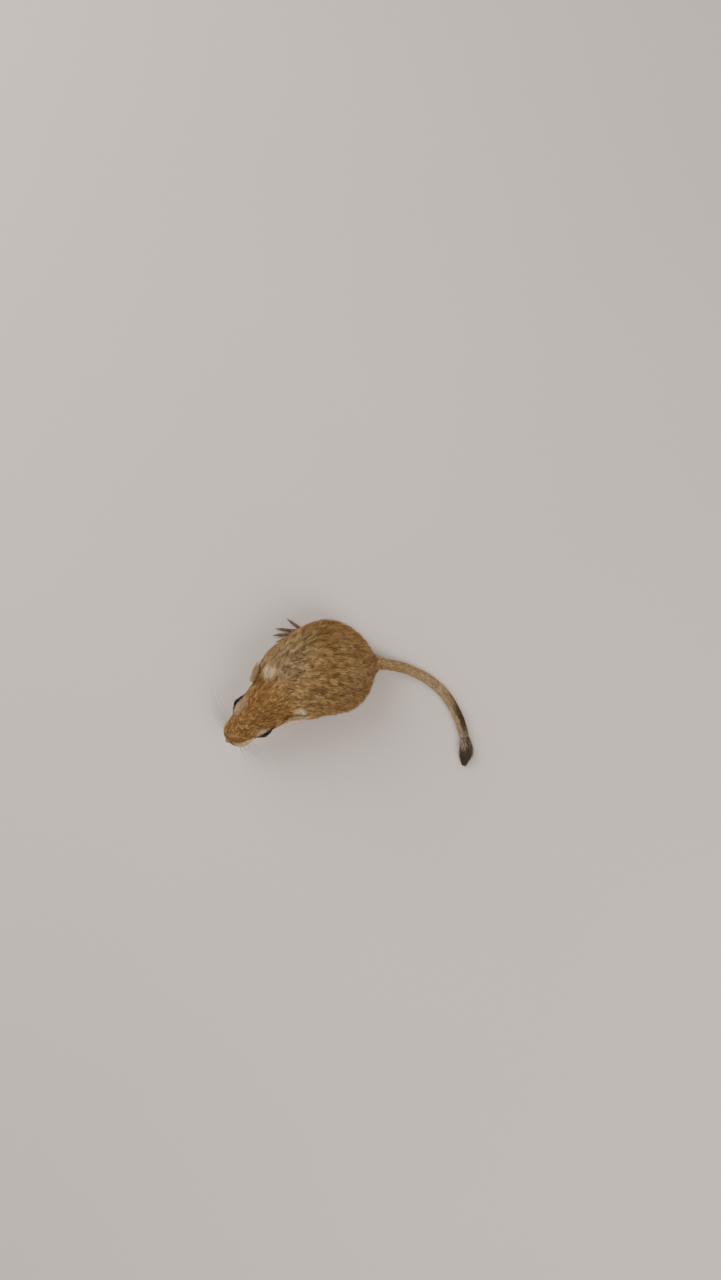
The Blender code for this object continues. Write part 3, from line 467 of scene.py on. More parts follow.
def joints_of_flesh(path):
    """Rounded forms inside the body that carry feet, paws and the tail's brush."""
    forms = []
    for heel, toes, _, _ in HIND_FEET.values():
        heel, toes = np.array(heel), np.array(toes)
        for share, size in ((0.08, 2.6), (0.3, 2.4), (0.5, 2.0)):
            forms.append(ball(heel + (toes - heel) * share + UP * 3.6, (size, size, 2.4)))
    for _, wrist, _ in ARMS.values():
        forms.append(ball(np.array(wrist) + UP * -0.2, (1.6, 1.8, 1.5)))
    core = path[int(0.80 * (len(path) - 1)) :]
    share = np.linspace(0, 1, len(core))
    radii = np.interp(share, [0, 0.3, 0.85, 1.0], [1.9, 1.55, 1.0, 0.35])
    forms.append(tube(core, radii, 14))
    return forms


def rooted(form, tree):
    """The form with what lies close over the surface sunk into it."""
    verts, faces = form
    for i, p in enumerate(verts.tolist()):
        spot, way, _, _ = tree.find_nearest(p, 0.5)
        if spot is not None:
            verts[i] = np.array(spot) - np.array(way) * 0.4
    return verts, faces


def make_shell(frame, path):
    """One closed fine surface round the flesh, on the coat's outline."""
    forms = {n: swollen(frame["nodes"][n], n) for n in FLESH if n != "tail_tuft"}
    verts, faces = joined([forms[n] for n in ("torso", "neck", "head")])
    trunk = BVHTree.FromPolygons(verts.tolist(), faces.tolist())
    for name in ("ear_left", "ear_right"):
        forms[name] = rooted(forms[name], trunk)
    verts, faces = joined(list(forms.values()) + joints_of_flesh(path))
    rough = bpy.data.objects.new("shell", mesh_from("shell", verts, faces))
    bpy.context.scene.collection.objects.link(rough)
    grid = rough.modifiers.new("grid", "REMESH")
    grid.mode = "VOXEL"
    grid.voxel_size = SKIN_GRID * MM
    graph = bpy.context.evaluated_depsgraph_get()
    fine = bpy.data.meshes.new_from_object(rough.evaluated_get(graph))
    rough.modifiers.clear()
    rough.data = fine
    verts, faces = arrays_of(fine)
    edges = edges_of(faces)
    behind = CHART.read(verts)[0]
    far_tail = np.linalg.norm(verts[:, None] - path[None, ::4], axis=-1).min(1)
    on_tail = (far_tail < 4.5) & (verts[:, 1] > 3)
    still = 1 - smooth(26, 34, behind)
    low = smooth(7.5, 4.5, verts[:, 2])
    still = np.maximum(still, np.where(on_tail, 0.0, low))
    for name in EARS:
        root, axis, _ = ear_frame(name)
        off = verts - (root + axis * 6)
        still = np.maximum(still, smooth(10.5, 8.0, np.linalg.norm(off, axis=1)))
    verts = spread(verts, edges, 26, hold=still)
    verts = spread(verts, edges, 2)
    fine.vertices.foreach_set("co", ((verts - SHIFT) * MM).astype(np.float32).ravel())
    fine.update()
    group = rough.vertex_groups.new(name="thin")
    plain = np.where(still < 0.5, np.where(on_tail, THIN_TAIL, THIN_BODY), THIN_DETAIL)
    for value in (THIN_BODY, THIN_TAIL, THIN_DETAIL):
        group.add(np.flatnonzero(plain == value).tolist(), float(value), "REPLACE")
    thin = rough.modifiers.new("thin", "DECIMATE")
    thin.ratio = SKIN_SHARE
    thin.vertex_group = "thin"
    thin.vertex_group_factor = 1.0
    graph = bpy.context.evaluated_depsgraph_get()
    made = bpy.data.meshes.new_from_object(rough.evaluated_get(graph))
    result = arrays_of(made)
    bpy.data.objects.remove(rough)
    for mesh in (fine, made):
        bpy.data.meshes.remove(mesh)
    return result


def nearest_node(frame, verts):
    """The name of the flesh node that each point lies nearest to."""
    corners, owner, start = [], [], 0
    triangles = []
    for n, name in enumerate(FLESH):
        v, f = arrays_of(frame["nodes"][name].data)
        corners.append(v)
        triangles.append(f + start)
        owner += [n] * len(f)
        start += len(v)
    tree = BVHTree.FromPolygons(np.concatenate(corners).tolist(), np.concatenate(triangles).tolist())
    label = np.empty(len(verts), int)
    for i, p in enumerate(verts.tolist()):
        label[i] = owner[tree.find_nearest(p)[2]]
    return label


def lid_place(points, eye):
    """Offsets from an eye, places along, up and out of it, and 1 on the lids' edge."""
    centre, out, to_ear, upward = eye
    off = points - centre
    local = np.stack([off @ to_ear, off @ upward, off @ out - EYE_RADIUS], axis=1)
    return off, local, np.linalg.norm(local / LID_OPENING, axis=1)


def lidded(points):
    """The points, with those over an eye drawn a little way across its top."""
    moved = np.array(points, float)
    for hand in SIDES.values():
        eye = eye_frame(hand)
        _, out, _, upward = eye
        off, local, inside = lid_place(points, eye)
        share = smooth(1.9, 1.05, inside) * smooth(0.3, 2.2, local[:, 1]) * (off @ out > 0)
        moved += share[:, None] * (out * LID_OUT - upward * LID_DOWN)
    return moved


def lie_of_hair(verts, at):
    """The way that the hair points at each vertex, before it is evened out."""
    flow = at.back.copy()
    swept = smooth(30, 42, at.behind) * smooth(0.1, 0.45, at.level) * smooth(-1.1, -0.1, at.share)
    swept = swept[:, None]
    sweep = unit(SWEEP + SWEEP_ACROSS * (0.04 + 0.26 * at.share[:, None]))
    flow = flow * (1 - swept) + sweep * swept
    on_sides = smooth(0.25, 0.95, np.abs(at.share))[:, None]
    flow -= UP * 0.35 * on_sides * smooth(22, 34, at.behind)[:, None]
    flow -= UP * 0.7 * smooth(62, 76, at.behind)[:, None]
    ray = unit(verts - head_spot(1.0, 0.0, NOSE_PAD_Z))
    near = smooth(9.0, 1.0, at.behind)[:, None]
    flow = flow * (1 - 0.75 * near) + ray * 0.9 * near
    for name, hand in SIDES.items():
        heel, toes, _, _ = HIND_FEET[name]
        flow[at.on["haunch_" + name]] += -UP * 0.55
        flow[at.on["foot_hind_" + name]] = unit(np.array(toes) - np.array(heel))
        elbow, wrist, turn = ARMS[name]
        arm = unit(np.array(wrist) - np.array(elbow))
        upper = at.on["foreleg_" + name]
        blend = smooth(16.0, 9.0, verts[:, 2])[:, None]
        flow[upper] = (flow * (1 - blend) + arm * blend)[upper]
        flow[at.on["paw_" + name]] = turned((0.0, -1.0, 0.0), turn)
        flow[at.on["ear_" + name]] = ear_frame(name)[1]
        centre, out, _, _ = eye_frame(hand)
        off = verts - centre
        ahead = off @ out
        beside = off - out * ahead[:, None]
        ring = smooth(6.6, 3.6, np.linalg.norm(beside, axis=1)) * (ahead > 0.3)
        flow = flow * (1 - ring)[:, None] + unit(beside) * ring[:, None] * 1.2
    flow[at.tail] = at.tail_way[at.tail]
    return flow


def either(on, part):
    """The points on the left or the right one of a pair."""
    return on[part + "_left"] | on[part + "_right"]


def places_on_body(frame, verts, path):
    """The part of the animal that each point is on, and where it lies along it."""
    label = nearest_node(frame, verts)
    on = {name: label == n for n, name in enumerate(FLESH)}
    at = SimpleNamespace(on=on, z=verts[:, 2])
    at.behind, at.side, at.level, at.share, at.back = CHART.read(verts)
    at.tail_share, at.tail_way, at.tail_out = tail_read(verts, path)
    at.tuft = on["tail_tuft"]
    at.tail = on["tail_root"] | on["tail_middle"] | on["tail_end"] | at.tuft
    at.ear = either(on, "ear")
    at.foot = either(on, "foot_hind")
    at.paw = either(on, "paw")
    at.arm = either(on, "foreleg")
    at.haunch = either(on, "haunch")
    at.body = ~(at.tail | at.ear | at.foot | at.paw)
    at.forearm = smooth(12.0, 6.0, at.z)
    return at


def bare_features(verts, at):
    """Nose pad, nostrils, mouth and lids, at each point."""
    off = verts - head_spot(NOSE_PAD_BEHIND, 0.0, NOSE_PAD_Z)
    ahead = off @ HEADING
    pad = np.linalg.norm(np.stack([ahead, off @ HEAD_LEFT, off @ UP], axis=1) / NOSE_PAD, axis=1)
    bare = smooth(1.24, 1.04, pad) * (ahead > -0.4)

    nostril = np.zeros(len(verts))
    for hand in SIDES.values():
        off = verts - head_spot(NOSTRIL_BEHIND, hand * NOSTRIL_SIDE, NOSTRIL_Z)
        inward = -HEADING * math.cos(NOSTRIL_SLANT) - HEAD_LEFT * hand * math.sin(NOSTRIL_SLANT)
        aside = HEADING * math.sin(NOSTRIL_SLANT) - HEAD_LEFT * hand * math.cos(NOSTRIL_SLANT)
        local = np.stack([off @ inward, off @ aside, off @ UP], axis=1) / NOSTRIL
        nostril = np.maximum(nostril, smooth(1.25, 0.6, np.linalg.norm(local, axis=1)))

    share_back = np.clip((at.behind - MOUTH_FRONT) / (MOUTH_BACK - MOUTH_FRONT), 0, 1) ** 0.5
    mouth_z = MOUTH_Z_FRONT + (MOUTH_Z_CORNER - MOUTH_Z_FRONT) * share_back
    mouth = bump(at.z - mouth_z, 0.40) * smooth(MOUTH_BACK + 1.0, MOUTH_BACK - 0.5, at.behind)
    cleft = bump(at.side, 0.34) * smooth(14.9, 14.3, at.z) * smooth(12.2, 12.6, at.z)
    cleft = cleft * smooth(2.4, 1.4, at.behind)
    crease = np.clip(np.maximum(mouth, cleft), 0, 1) * at.on["head"]

    lid = np.zeros(len(verts))
    eyelid = np.zeros(len(verts))
    for hand in SIDES.values():
        eye = eye_frame(hand)
        off, _, inside = lid_place(verts, eye)
        reach = np.linalg.norm(off, axis=1)
        margin = (reach < EYE_RADIUS + 1.6) * smooth(1.15, 1.05, inside)
        socket = smooth(EYE_RADIUS + 0.66, EYE_RADIUS + 0.5, reach)
        lid = np.maximum(lid, np.maximum(margin, socket))
        round_eye = smooth(EYE_RADIUS + 2.6, EYE_RADIUS + 1.2, reach) * (off @ eye[1] > -0.5)
        eyelid = np.maximum(eyelid, round_eye)
    bare = np.maximum(bare, lid)
    return SimpleNamespace(pad=pad, bare=bare, nostril=nostril, crease=crease, lid=lid, eyelid=eyelid)


def ear_features(verts, normal, at):
    """The inside of each ear's cup, and its rim."""
    cup = np.zeros(len(verts))
    rim = np.zeros(len(verts))
    for name in EARS:
        root, axis, facing = ear_frame(name)
        mine = at.on["ear_" + name]
        cup = np.where(mine, smooth(-0.25, 0.25, normal @ facing), cup)
        off = verts - root
        over = off @ np.cross(axis, facing)
        reach = np.hypot(over / 4.6, (off @ axis - EAR_LENGTH * 0.52) / (EAR_LENGTH * 0.48))
        rim = np.where(mine, smooth(0.64, 0.84, reach) * (off @ axis > EAR_LENGTH * 0.25), rim)
    return cup, rim


def coat_sizes(at, features, sole, cup, rim):
    """Length of the hair, depth of the coat over the skin, and tufts per mm2."""
    rows = (HAIR_LENGTH, COAT_DEPTH, COAT_DENSITY)
    length, depth, dense = (np.interp(at.behind, BEHIND_NOSE, row) for row in rows)
    under = smooth(0.22, 0.06, at.level) * at.body
    length = length * (1 - 0.3 * under)
    depth = depth * (1 - 0.35 * under)
    dense = dense * (1 - 0.76 * under)
    lower = smooth(9.0, 3.0, at.z)
    length = np.where(at.haunch, length * (1 - 0.4 * lower), length)
    depth = np.where(at.haunch, depth * (1 - 0.55 * lower), depth)
    length = np.where(at.arm, 3.2 * (1 - at.forearm) + 1.3 * at.forearm, length)
    depth = np.where(at.arm, 1.4 * (1 - at.forearm) + 0.35 * at.forearm, depth)
    dense = np.where(at.arm, ARM_DENSITY, dense)
    for mask, values in ((at.foot, FOOT_COAT), (at.paw, PAW_COAT)):
        length[mask], depth[mask], dense[mask] = values
    depth[at.ear] = EAR_COAT_DEPTH
    crest = np.clip(at.tail_out @ UP, 0, 1) * smooth(0.45, 0.8, at.tail_share)
    near_root = smooth(0.16, 0.02, at.tail_share)
    length = np.where(at.tail, 1.7 + 0.9 * crest + 2.2 * near_root, length)
    depth = np.where(at.tail, TAIL_COAT_DEPTH, depth)
    depth = np.where(at.tuft, 0.0, depth)
    dense = np.where(at.tail, TAIL_DENSITY, dense)
    dense = np.where(at.tuft, TUFT_DENSITY, dense)
    dense[sole] = 0.0

    length = length * (1 - 0.6 * features.eyelid)
    depth = depth * (1 - 0.75 * features.eyelid)
    depth = depth * (1 - np.maximum(features.lid, smooth(2.0, 1.4, features.pad)))
    length = length * (1 - 0.4 * features.crease)
    dense = dense * (1 - smooth(0.45, 0.8, features.crease))
    dense = dense * (1 - smooth(0.35, 0.65, features.bare))
    dense = np.where(at.ear, 36.0 - 18.0 * cup * (1 - rim), dense)
    length = np.where(at.ear, 1.05 - 0.35 * cup, length)
    return length, depth, dense


def pale_marks(verts, at, cup, rim, tail_pale):
    """Cream on belly, brows, cheeks, lips, limbs and ears, and behind the ears."""
    pale = smooth(0.27, 0.17, at.level) * at.body
    pale = np.maximum(pale, smooth(0.36, 0.22, at.level) * smooth(34, 24, at.behind) * at.body)
    for spot in PATCHES_BEHIND_EARS:
        away = np.linalg.norm(verts[:, :2] - np.array(spot), axis=1)
        pale = np.maximum(pale, 0.97 * smooth(3.4, 2.1, away) * smooth(16, 20, at.z) * at.body)
    for hand in SIDES.values():
        centre, out, _, _ = eye_frame(hand)
        brow = np.linalg.norm(verts - (centre + UP * 3.4 + out * 0.8), axis=1)
        soft_brow = 0.10 * smooth(5.2, 1.8, brow) if hand > 0 else 0.40 * smooth(6.8, 2.4, brow)
        pale = np.maximum(pale, soft_brow)
        ring = smooth(EYE_RADIUS + 1.0, EYE_RADIUS + 0.6, np.linalg.norm(verts - centre, axis=1))
        pale = np.maximum(pale, (0.8 if hand > 0 else 0.55) * ring)
        off = verts - head_spot(9.5, hand * 8.0, 12.0)
        cheek = np.linalg.norm(off / np.array([1, 1, 0.7]), axis=1)
        pale = np.maximum(pale, 0.7 * smooth(5.5, 2.2, cheek))
    lip = np.where(at.side > 0, 17.3, 15.8)
    lips = smooth(lip + 1.0, lip - 0.8, at.z) * smooth(13.0, 9.5, at.behind) * smooth(0.6, 2.6, at.behind)
    pale = np.maximum(pale, 0.85 * lips * at.body)
    pale = np.where(at.foot, 0.14, pale)
    pale = np.where(at.paw, 0.60, pale)
    pale = np.where(at.arm, np.maximum(pale, 0.75 * at.forearm), pale)
    pale = np.where(at.ear, np.minimum(0.32 + 0.54 * cup + 0.75 * rim, 1.0), pale)
    underside = 0.55 * smooth(-0.2, -0.8, at.tail_out[:, 2])
    return np.where(at.tail, np.maximum(tail_pale, underside), pale)


def dark_marks(verts, at, features, tail_dark, snout):
    """Dark crest and brush of the tail, lids, feet and snout, and painted shade in the mouth's crease."""
    dark = tail_dark * at.tail
    for hand in SIDES.values():
        eye = eye_frame(hand)
        off, local, inside = lid_place(verts, eye)
        reach = np.linalg.norm(off, axis=1)
        near = smooth(EYE_RADIUS + 2.2, EYE_RADIUS + 1.2, reach) * (off @ eye[1] > 0)
        corner = smooth(0.80, 1.0, np.abs(local[:, 0]) / LID_OPENING[0]) * bump(local[:, 1] + 0.3, 1.0)
        edge = smooth(1.20, 1.08, inside) + corner * smooth(1.6, 1.25, inside)
        dark = np.maximum(dark, np.clip(edge, 0, 1) * near * 0.95)
    dark = np.where(at.foot, 0.60, dark)
    dark = np.maximum(dark, 0.30 * snout)
    # Painted shade: the mouth's crease and the lip's cleft are darkened.
    return np.maximum(dark, 0.8 * features.crease)


def markings(verts, at, features, cup, rim, path):
    """Every marking that skin and coat share, at each point."""
    tail_dark, tail_pale, tail_white = tail_marks(verts, path)
    white = smooth(0.30, 0.18, at.level) * at.body
    white = np.where(at.arm, 0.2, white)
    white = np.where(at.tail, tail_white, white)

    warm = 0.25 + 0.60 * smooth(34, 22, at.behind) * smooth(0.3, 0.6, at.level)
    warm = np.maximum(warm, 0.9 * smooth(0.96, 0.70, at.level) * smooth(30, 40, at.behind))
    warm = np.where(at.tail, 0.5 * smooth(0.55, 0.25, at.tail_share), warm)
    warm = np.where(at.ear, 0.1, warm)

    grey = smooth(60, 44, at.behind) * smooth(30, 38, at.behind) * smooth(0.55, 0.85, at.level) * at.body
    # Grey kept to the right side: the paler right shoulder is partly painted light.
    grey = 0.85 * grey * (1 - 0.8 * smooth(-7, 5, at.side))
    grey = np.where(at.ear, 0.7, grey)
    grey = np.where(at.foot, 0.6, grey)
    grey = np.where(at.tail, 0.7 * smooth(0.2, 0.55, at.tail_share), grey)

    snout = smooth(4.0, 2.2, np.linalg.norm(verts - head_spot(1.2, 0.0, 16.6), axis=1))
    return {
        "pale": pale_marks(verts, at, cup, rim, tail_pale),
        "white": white,
        "warm": warm,
        "grey": grey,
        "dark": dark_marks(verts, at, features, tail_dark, snout),
        "snout": snout,
    }


def surfaces(verts, normal, edges, at, features, depth):
    """The outline at the coat's tips, and the skin under the coat."""
    swell = np.where(at.body | at.tail, SWELL, 0.0)
    swell = np.where(at.on["head"], SWELL * smooth(26.5, 30.5, at.behind), swell)
    swell = np.where(at.ear, EAR_SWELL, swell)
    swell = np.where(at.tuft, 0.0, swell)
    outline = verts - normal * spread(swell, edges, 3)[:, None]
    skin = outline - normal * depth[:, None]
    soft = spread(skin, edges, 8)
    ease = spread((at.body & (at.behind > 27) & ~at.arm).astype(float), edges, 8)[:, None]
    skin = skin * (1 - ease) + soft * ease
    sunk = HEADING * (NOSTRIL_DEPTH * features.nostril)[:, None]
    skin = skin - sunk - normal * (CREASE_DEPTH * features.crease)[:, None]
    skin[:, 2] = np.maximum(skin[:, 2], SKIN_OFF_FLOOR)
    return lidded(outline), lidded(skin)


def make_fields(frame, verts, faces, path):
    """Coat and markings at each point, and the surfaces over and under the coat."""
    edges = edges_of(faces)
    normal, _ = normals_of(verts, faces)
    at = places_on_body(frame, verts, path)
    features = bare_features(verts, at)
    cup, rim = ear_features(verts, normal, at)
    sole = (at.foot | at.paw) & (normal[:, 2] < -0.2)
    length, depth, dense = coat_sizes(at, features, sole, cup, rim)
    bare = np.maximum(features.bare, np.where(sole, 1.0, 0.0))
    bare = np.maximum(bare, np.where(at.foot, 0.25, np.where(at.paw, 0.45, 0.0)))
    bare = np.maximum(bare, np.where(at.ear, 0.75, 0.0))
    # The lid share also takes in the nostrils, to darken them as painted shade.
    lid = np.maximum(features.lid, features.nostril)

    flow = lie_of_hair(verts, at)
    for _ in range(4):
        flow = flow - normal * (flow * normal).sum(-1, keepdims=True)
        flow = spread(unit(flow), edges, 9)
    flow = unit(flow - normal * (flow * normal).sum(-1, keepdims=True))

    values = markings(verts, at, features, cup, rim, path)
    values.update(length=length, depth=depth, dense=dense, bare=bare)
    even = {name: spread(values[name], edges, turns) for name, turns in EVENED.items()}
    fields = SimpleNamespace(**even)
    fields.depth = np.minimum(fields.depth, depth + 0.4) * (1 - lid)
    fields.flow = flow
    fields.lid = lid
    fields.behind, fields.side, fields.level, fields.share = at.behind, at.side, at.level, at.share
    fields.body = at.body.astype(float)
    fields.tail = at.tail.astype(float)
    fields.ear = at.ear.astype(float)
    fields.foot = (at.foot | at.paw).astype(float)
    fields.limb = (at.arm | at.foot | at.paw).astype(float)
    fields.brush = at.tuft.astype(float)
    outline, skin = surfaces(verts, normal, edges, at, features, fields.depth)
    return fields, outline, skin


# Materials


class Nodes:
    """Builds a node tree with few words."""

    def __init__(self, tree):
        self.tree = tree

    def add(self, kind, **settings):
        node = self.tree.nodes.new(kind)
        for name, value in settings.items():
            setattr(node, name, value)
        return node

    def feed(self, socket, value):
        if isinstance(value, bpy.types.NodeSocket):
            self.tree.links.new(value, socket)
        elif value is not None:
            socket.default_value = value

    def maths(self, operation, a, b=None, c=None, clamp=False):
        node = self.add("ShaderNodeMath", operation=operation, use_clamp=clamp)
        for socket, value in zip(node.inputs, (a, b, c)):
            self.feed(socket, value)
        return node.outputs[0]

    def mix(self, share, a, b):
        node = self.add("ShaderNodeMix", data_type="RGBA")
        self.feed(node.inputs[0], share)
        self.feed(node.inputs[6], (*a, 1.0) if isinstance(a, tuple) else a)
        self.feed(node.inputs[7], (*b, 1.0) if isinstance(b, tuple) else b)
        return node.outputs[2]

    def between(self, value, low, high, to_low=0.0, to_high=1.0):
        node = self.add("ShaderNodeMapRange", interpolation_type="SMOOTHSTEP")
        for socket, v in zip(node.inputs, (value, low, high, to_low, to_high)):
            self.feed(socket, v)
        return node.outputs[0]

    def noise(self, scale, detail=2.0, roughness=0.5):
        node = self.add("ShaderNodeTexNoise")
        self.feed(node.inputs["Vector"], self.add("ShaderNodeTexCoord").outputs["Object"])
        node.inputs["Scale"].default_value = scale
        node.inputs["Detail"].default_value = detail
        node.inputs["Roughness"].default_value = roughness
        return node.outputs["Fac"]

    def attribute(self, name):
        return self.add("ShaderNodeAttribute", attribute_name=name).outputs["Fac"]


def new_group(name, inputs, outputs):
    tree = bpy.data.node_groups.new(name, "ShaderNodeTree")
    for label, kind in inputs:
        tree.interface.new_socket(label, in_out="INPUT", socket_type=kind)
    for label, kind in outputs:
        tree.interface.new_socket(label, in_out="OUTPUT", socket_type=kind)
    nodes = Nodes(tree)
    source = nodes.add("NodeGroupInput")
    sink = nodes.add("NodeGroupOutput")
    return nodes, source.outputs, sink.inputs


FLOAT, COLOUR = "NodeSocketFloat", "NodeSocketColor"

# Dark hair roots: the hair's own slate base, darkened further as painted shade near the skin.
SLATE_ROOT_AND_SHADE = (0.090, 0.060, 0.034)
GOLD = (0.350, 0.184, 0.051)
ORANGE = (0.415, 0.176, 0.040)
OLIVE = (0.400, 0.285, 0.160)
# Straw is the hair's pale band, and also the painted highlight of lit locks.
STRAW = (0.640, 0.450, 0.200)
TICK = (0.056, 0.027, 0.009)
CREAM = (0.880, 0.680, 0.430)
CREAM_ROOT = (0.400, 0.300, 0.200)
WHITE = (0.800, 0.740, 0.650)
SOOT = (0.031, 0.017, 0.008)
PINK, ROSE, MAUVE = (0.50, 0.25, 0.175), (0.64, 0.37, 0.28), (0.36, 0.18, 0.13)
DUSKY = (0.018, 0.011, 0.009)
HORN, HORN_TIP, HORN_STREAK = (0.16, 0.10, 0.075), (0.03, 0.022, 0.018), (0.22, 0.15, 0.11)
MARKS = ("tone", "streak", "pale", "white", "warm", "grey", "dark")


def coat_colour_group():
    """Agouti banding and the markings, shared by the coat and the skin. The dark roots are partly painted
    shade, and the straw streaks partly painted highlight.
    """
    n, given, made = new_group(
        "agouti_coat",
        [(name, FLOAT) for name in ("Along", "Tone", "Streak", "Pale", "White", "Warm", "Grey", "Dark")],
        [("Color", COLOUR), ("Roughness", FLOAT)],
    )
    along, tone, streak = given["Along"], given["Tone"], given["Streak"]
    drift = n.noise(160.0, 3.0, 0.55)
    fine = n.noise(1400.0, 2.0, 0.6)
    band = n.mix(given["Warm"], GOLD, ORANGE)
    band = n.mix(given["Grey"], band, OLIVE)
    # Straw streaks: partly the hair's pale band, partly painted highlight on lit locks.
    lit = n.maths("MULTIPLY_ADD", streak, 0.62, 0.12, clamp=True)
    band = n.mix(lit, band, STRAW)
    # Dark root band: the hair's slate base and painted shade at the roots.
    colour = n.mix(n.between(along, 0.12, 0.62), SLATE_ROOT_AND_SHADE, band)
    ticked = n.between(tone, 0.62, 0.80)
    tip = n.mix(ticked, n.mix(0.35, band, STRAW), TICK)
    colour = n.mix(n.between(along, 0.62, 0.98), colour, tip)
    cream = n.mix(n.between(along, 0.0, 0.5), CREAM_ROOT, n.mix(given["White"], CREAM, WHITE))
    colour = n.mix(given["Pale"], colour, cream)
    soot = n.mix(n.between(along, 0.3, 1.0), SOOT, n.mix(tone, SOOT, TICK))
    colour = n.mix(given["Dark"], colour, soot)
    value = n.maths("MULTIPLY_ADD", drift, 0.30, 0.85)
    # Darker for a high tone: the coat's ticking and painted shade between locks.
    value = n.maths("MULTIPLY", value, n.maths("MULTIPLY_ADD", tone, -0.46, 1.23))
    value = n.maths("MULTIPLY", value, n.maths("MULTIPLY_ADD", fine, 0.24, 0.88))
    shade = n.add("ShaderNodeHueSaturation")
    n.feed(shade.inputs["Color"], colour)
    n.feed(shade.inputs["Value"], value)
    n.feed(made["Color"], shade.outputs["Color"])
    n.feed(made["Roughness"], n.maths("MULTIPLY_ADD", fine, 0.2, 0.48))
    return n.tree


def bare_colour_group():
    """Thin pink skin with darker creases and a fine grain."""
    n, given, made = new_group(
        "bare_skin", [("Rim", FLOAT)], [("Color", COLOUR), ("Height", FLOAT)]
    )
    grain = n.noise(2600.0, 4.0, 0.6)
    cloud = n.noise(500.0, 2.0, 0.5)
    pink = n.mix(cloud, PINK, ROSE)
    pink = n.mix(n.between(grain, 0.35, 0.7, 0.0, 0.45), pink, MAUVE)
    n.feed(made["Color"], n.mix(given["Rim"], pink, DUSKY))
    n.feed(made["Height"], grain)
    return n.tree


def use_group(n, tree, **given):
    node = n.add("ShaderNodeGroup")
    node.node_tree = tree
    for name, value in given.items():
        n.feed(node.inputs[name.capitalize()], value)
    return node.outputs


def shader(name):
    made = bpy.data.materials.new(name)
    made.use_nodes = True
    n = Nodes(made.node_tree)
    return made, n, made.node_tree.nodes["Principled BSDF"]


def set_values(node, **values):
    for name, value in values.items():
        node.inputs[name.replace("_", " ")].default_value = value


def coat_material(coat_group):
    made, n, skin = shader("short_golden_coat")
    given = {name: n.attribute(name) for name in ("along", *MARKS)}
    colour = use_group(n, coat_group, **given)
    n.feed(skin.inputs["Base Color"], colour["Color"])
    n.feed(skin.inputs["Roughness"], colour["Roughness"])
    set_values(skin, Specular_IOR_Level=0.22, Sheen_Weight=0.04, Sheen_Roughness=0.45)
    skin.inputs["Sheen Tint"].default_value = (1.0, 0.86, 0.66, 1.0)
    return made


def skin_material(coat_group, bare_group):
    made, n, skin = shader("skin_under_the_coat")
    given = {name: n.attribute(name) for name in MARKS}
    down = n.noise(3200.0, 3.0, 0.6)
    ground = n.maths("MULTIPLY_ADD", n.attribute("short"), 0.20, 0.20)
    given["along"] = n.maths("MULTIPLY_ADD", down, 0.5, ground)
    coat = use_group(n, coat_group, **given)
    # Dusky skin: dark snout and lid margins, and painted shade in the nostrils, which the lid share
    # carries.
    dusky = n.maths("MULTIPLY_ADD", n.attribute("snout"), 0.55, n.attribute("lid"), clamp=True)
    bare = use_group(n, bare_group, rim=dusky)
    share = n.attribute("bare")
    n.feed(skin.inputs["Base Color"], n.mix(share, coat["Color"], bare["Color"]))
    rough = n.maths("MULTIPLY_ADD", share, -0.18, 0.62)
    n.feed(skin.inputs["Roughness"], rough)
    relief = n.add("ShaderNodeBump")
    relief.inputs["Strength"].default_value = 0.35
    relief.inputs["Distance"].default_value = 0.00012
    n.feed(relief.inputs["Height"], n.maths("ADD", down, bare["Height"]))
    n.feed(skin.inputs["Normal"], relief.outputs["Normal"])
    set_values(skin, Specular_IOR_Level=0.35, Subsurface_Weight=0.12, Subsurface_Scale=0.0006)
    skin.inputs["Subsurface Radius"].default_value = (1.0, 0.35, 0.2)
    return made


def eye_material():
    made, n, wet = shader("dark_wet_eye")
    depth = n.noise(700.0, 2.0, 0.5)
    n.feed(wet.inputs["Base Color"], n.mix(depth, (0.002, 0.001, 0.001), (0.008, 0.004, 0.003)))
    set_values(wet, Roughness=0.05, Specular_IOR_Level=0.14)
    return made


def rim_material():
    made, n, rim = shader("dark_lid_margin")
    grain = n.noise(2400.0, 3.0, 0.6)
    n.feed(rim.inputs["Base Color"], n.mix(grain, (0.006, 0.004, 0.003), (0.016, 0.010, 0.008)))
    n.feed(rim.inputs["Roughness"], n.maths("MULTIPLY_ADD", grain, 0.3, 0.50))
    set_values(rim, Specular_IOR_Level=0.10)
    return made


def claw_material():
    made, n, horn = shader("dark_claw_horn")
    along = n.attribute("along")
    streaks = n.noise(3000.0, 2.0, 0.5)
    horn_colour = n.mix(n.between(along, 0.1, 1.0), HORN, HORN_TIP)
    share = n.between(streaks, 0.4, 0.7, 0.0, 0.5)
    n.feed(horn.inputs["Base Color"], n.mix(share, horn_colour, HORN_STREAK))
    set_values(horn, Roughness=0.3, Specular_IOR_Level=0.5)
    return made


def whisker_material():
    made, n, hair = shader("stiff_whisker")
    along = n.attribute("along")
    n.feed(hair.inputs["Base Color"], n.mix(along, (0.02, 0.014, 0.011), (0.30, 0.24, 0.19)))
    set_values(hair, Roughness=0.35, Specular_IOR_Level=0.5)
    return made


# Tufts of the coat


def bary_mix(values, corners, shares):
    picked = values[corners]
    if picked.ndim == 2:
        return (picked * shares).sum(1)
    return (picked * shares[:, :, None]).sum(1)


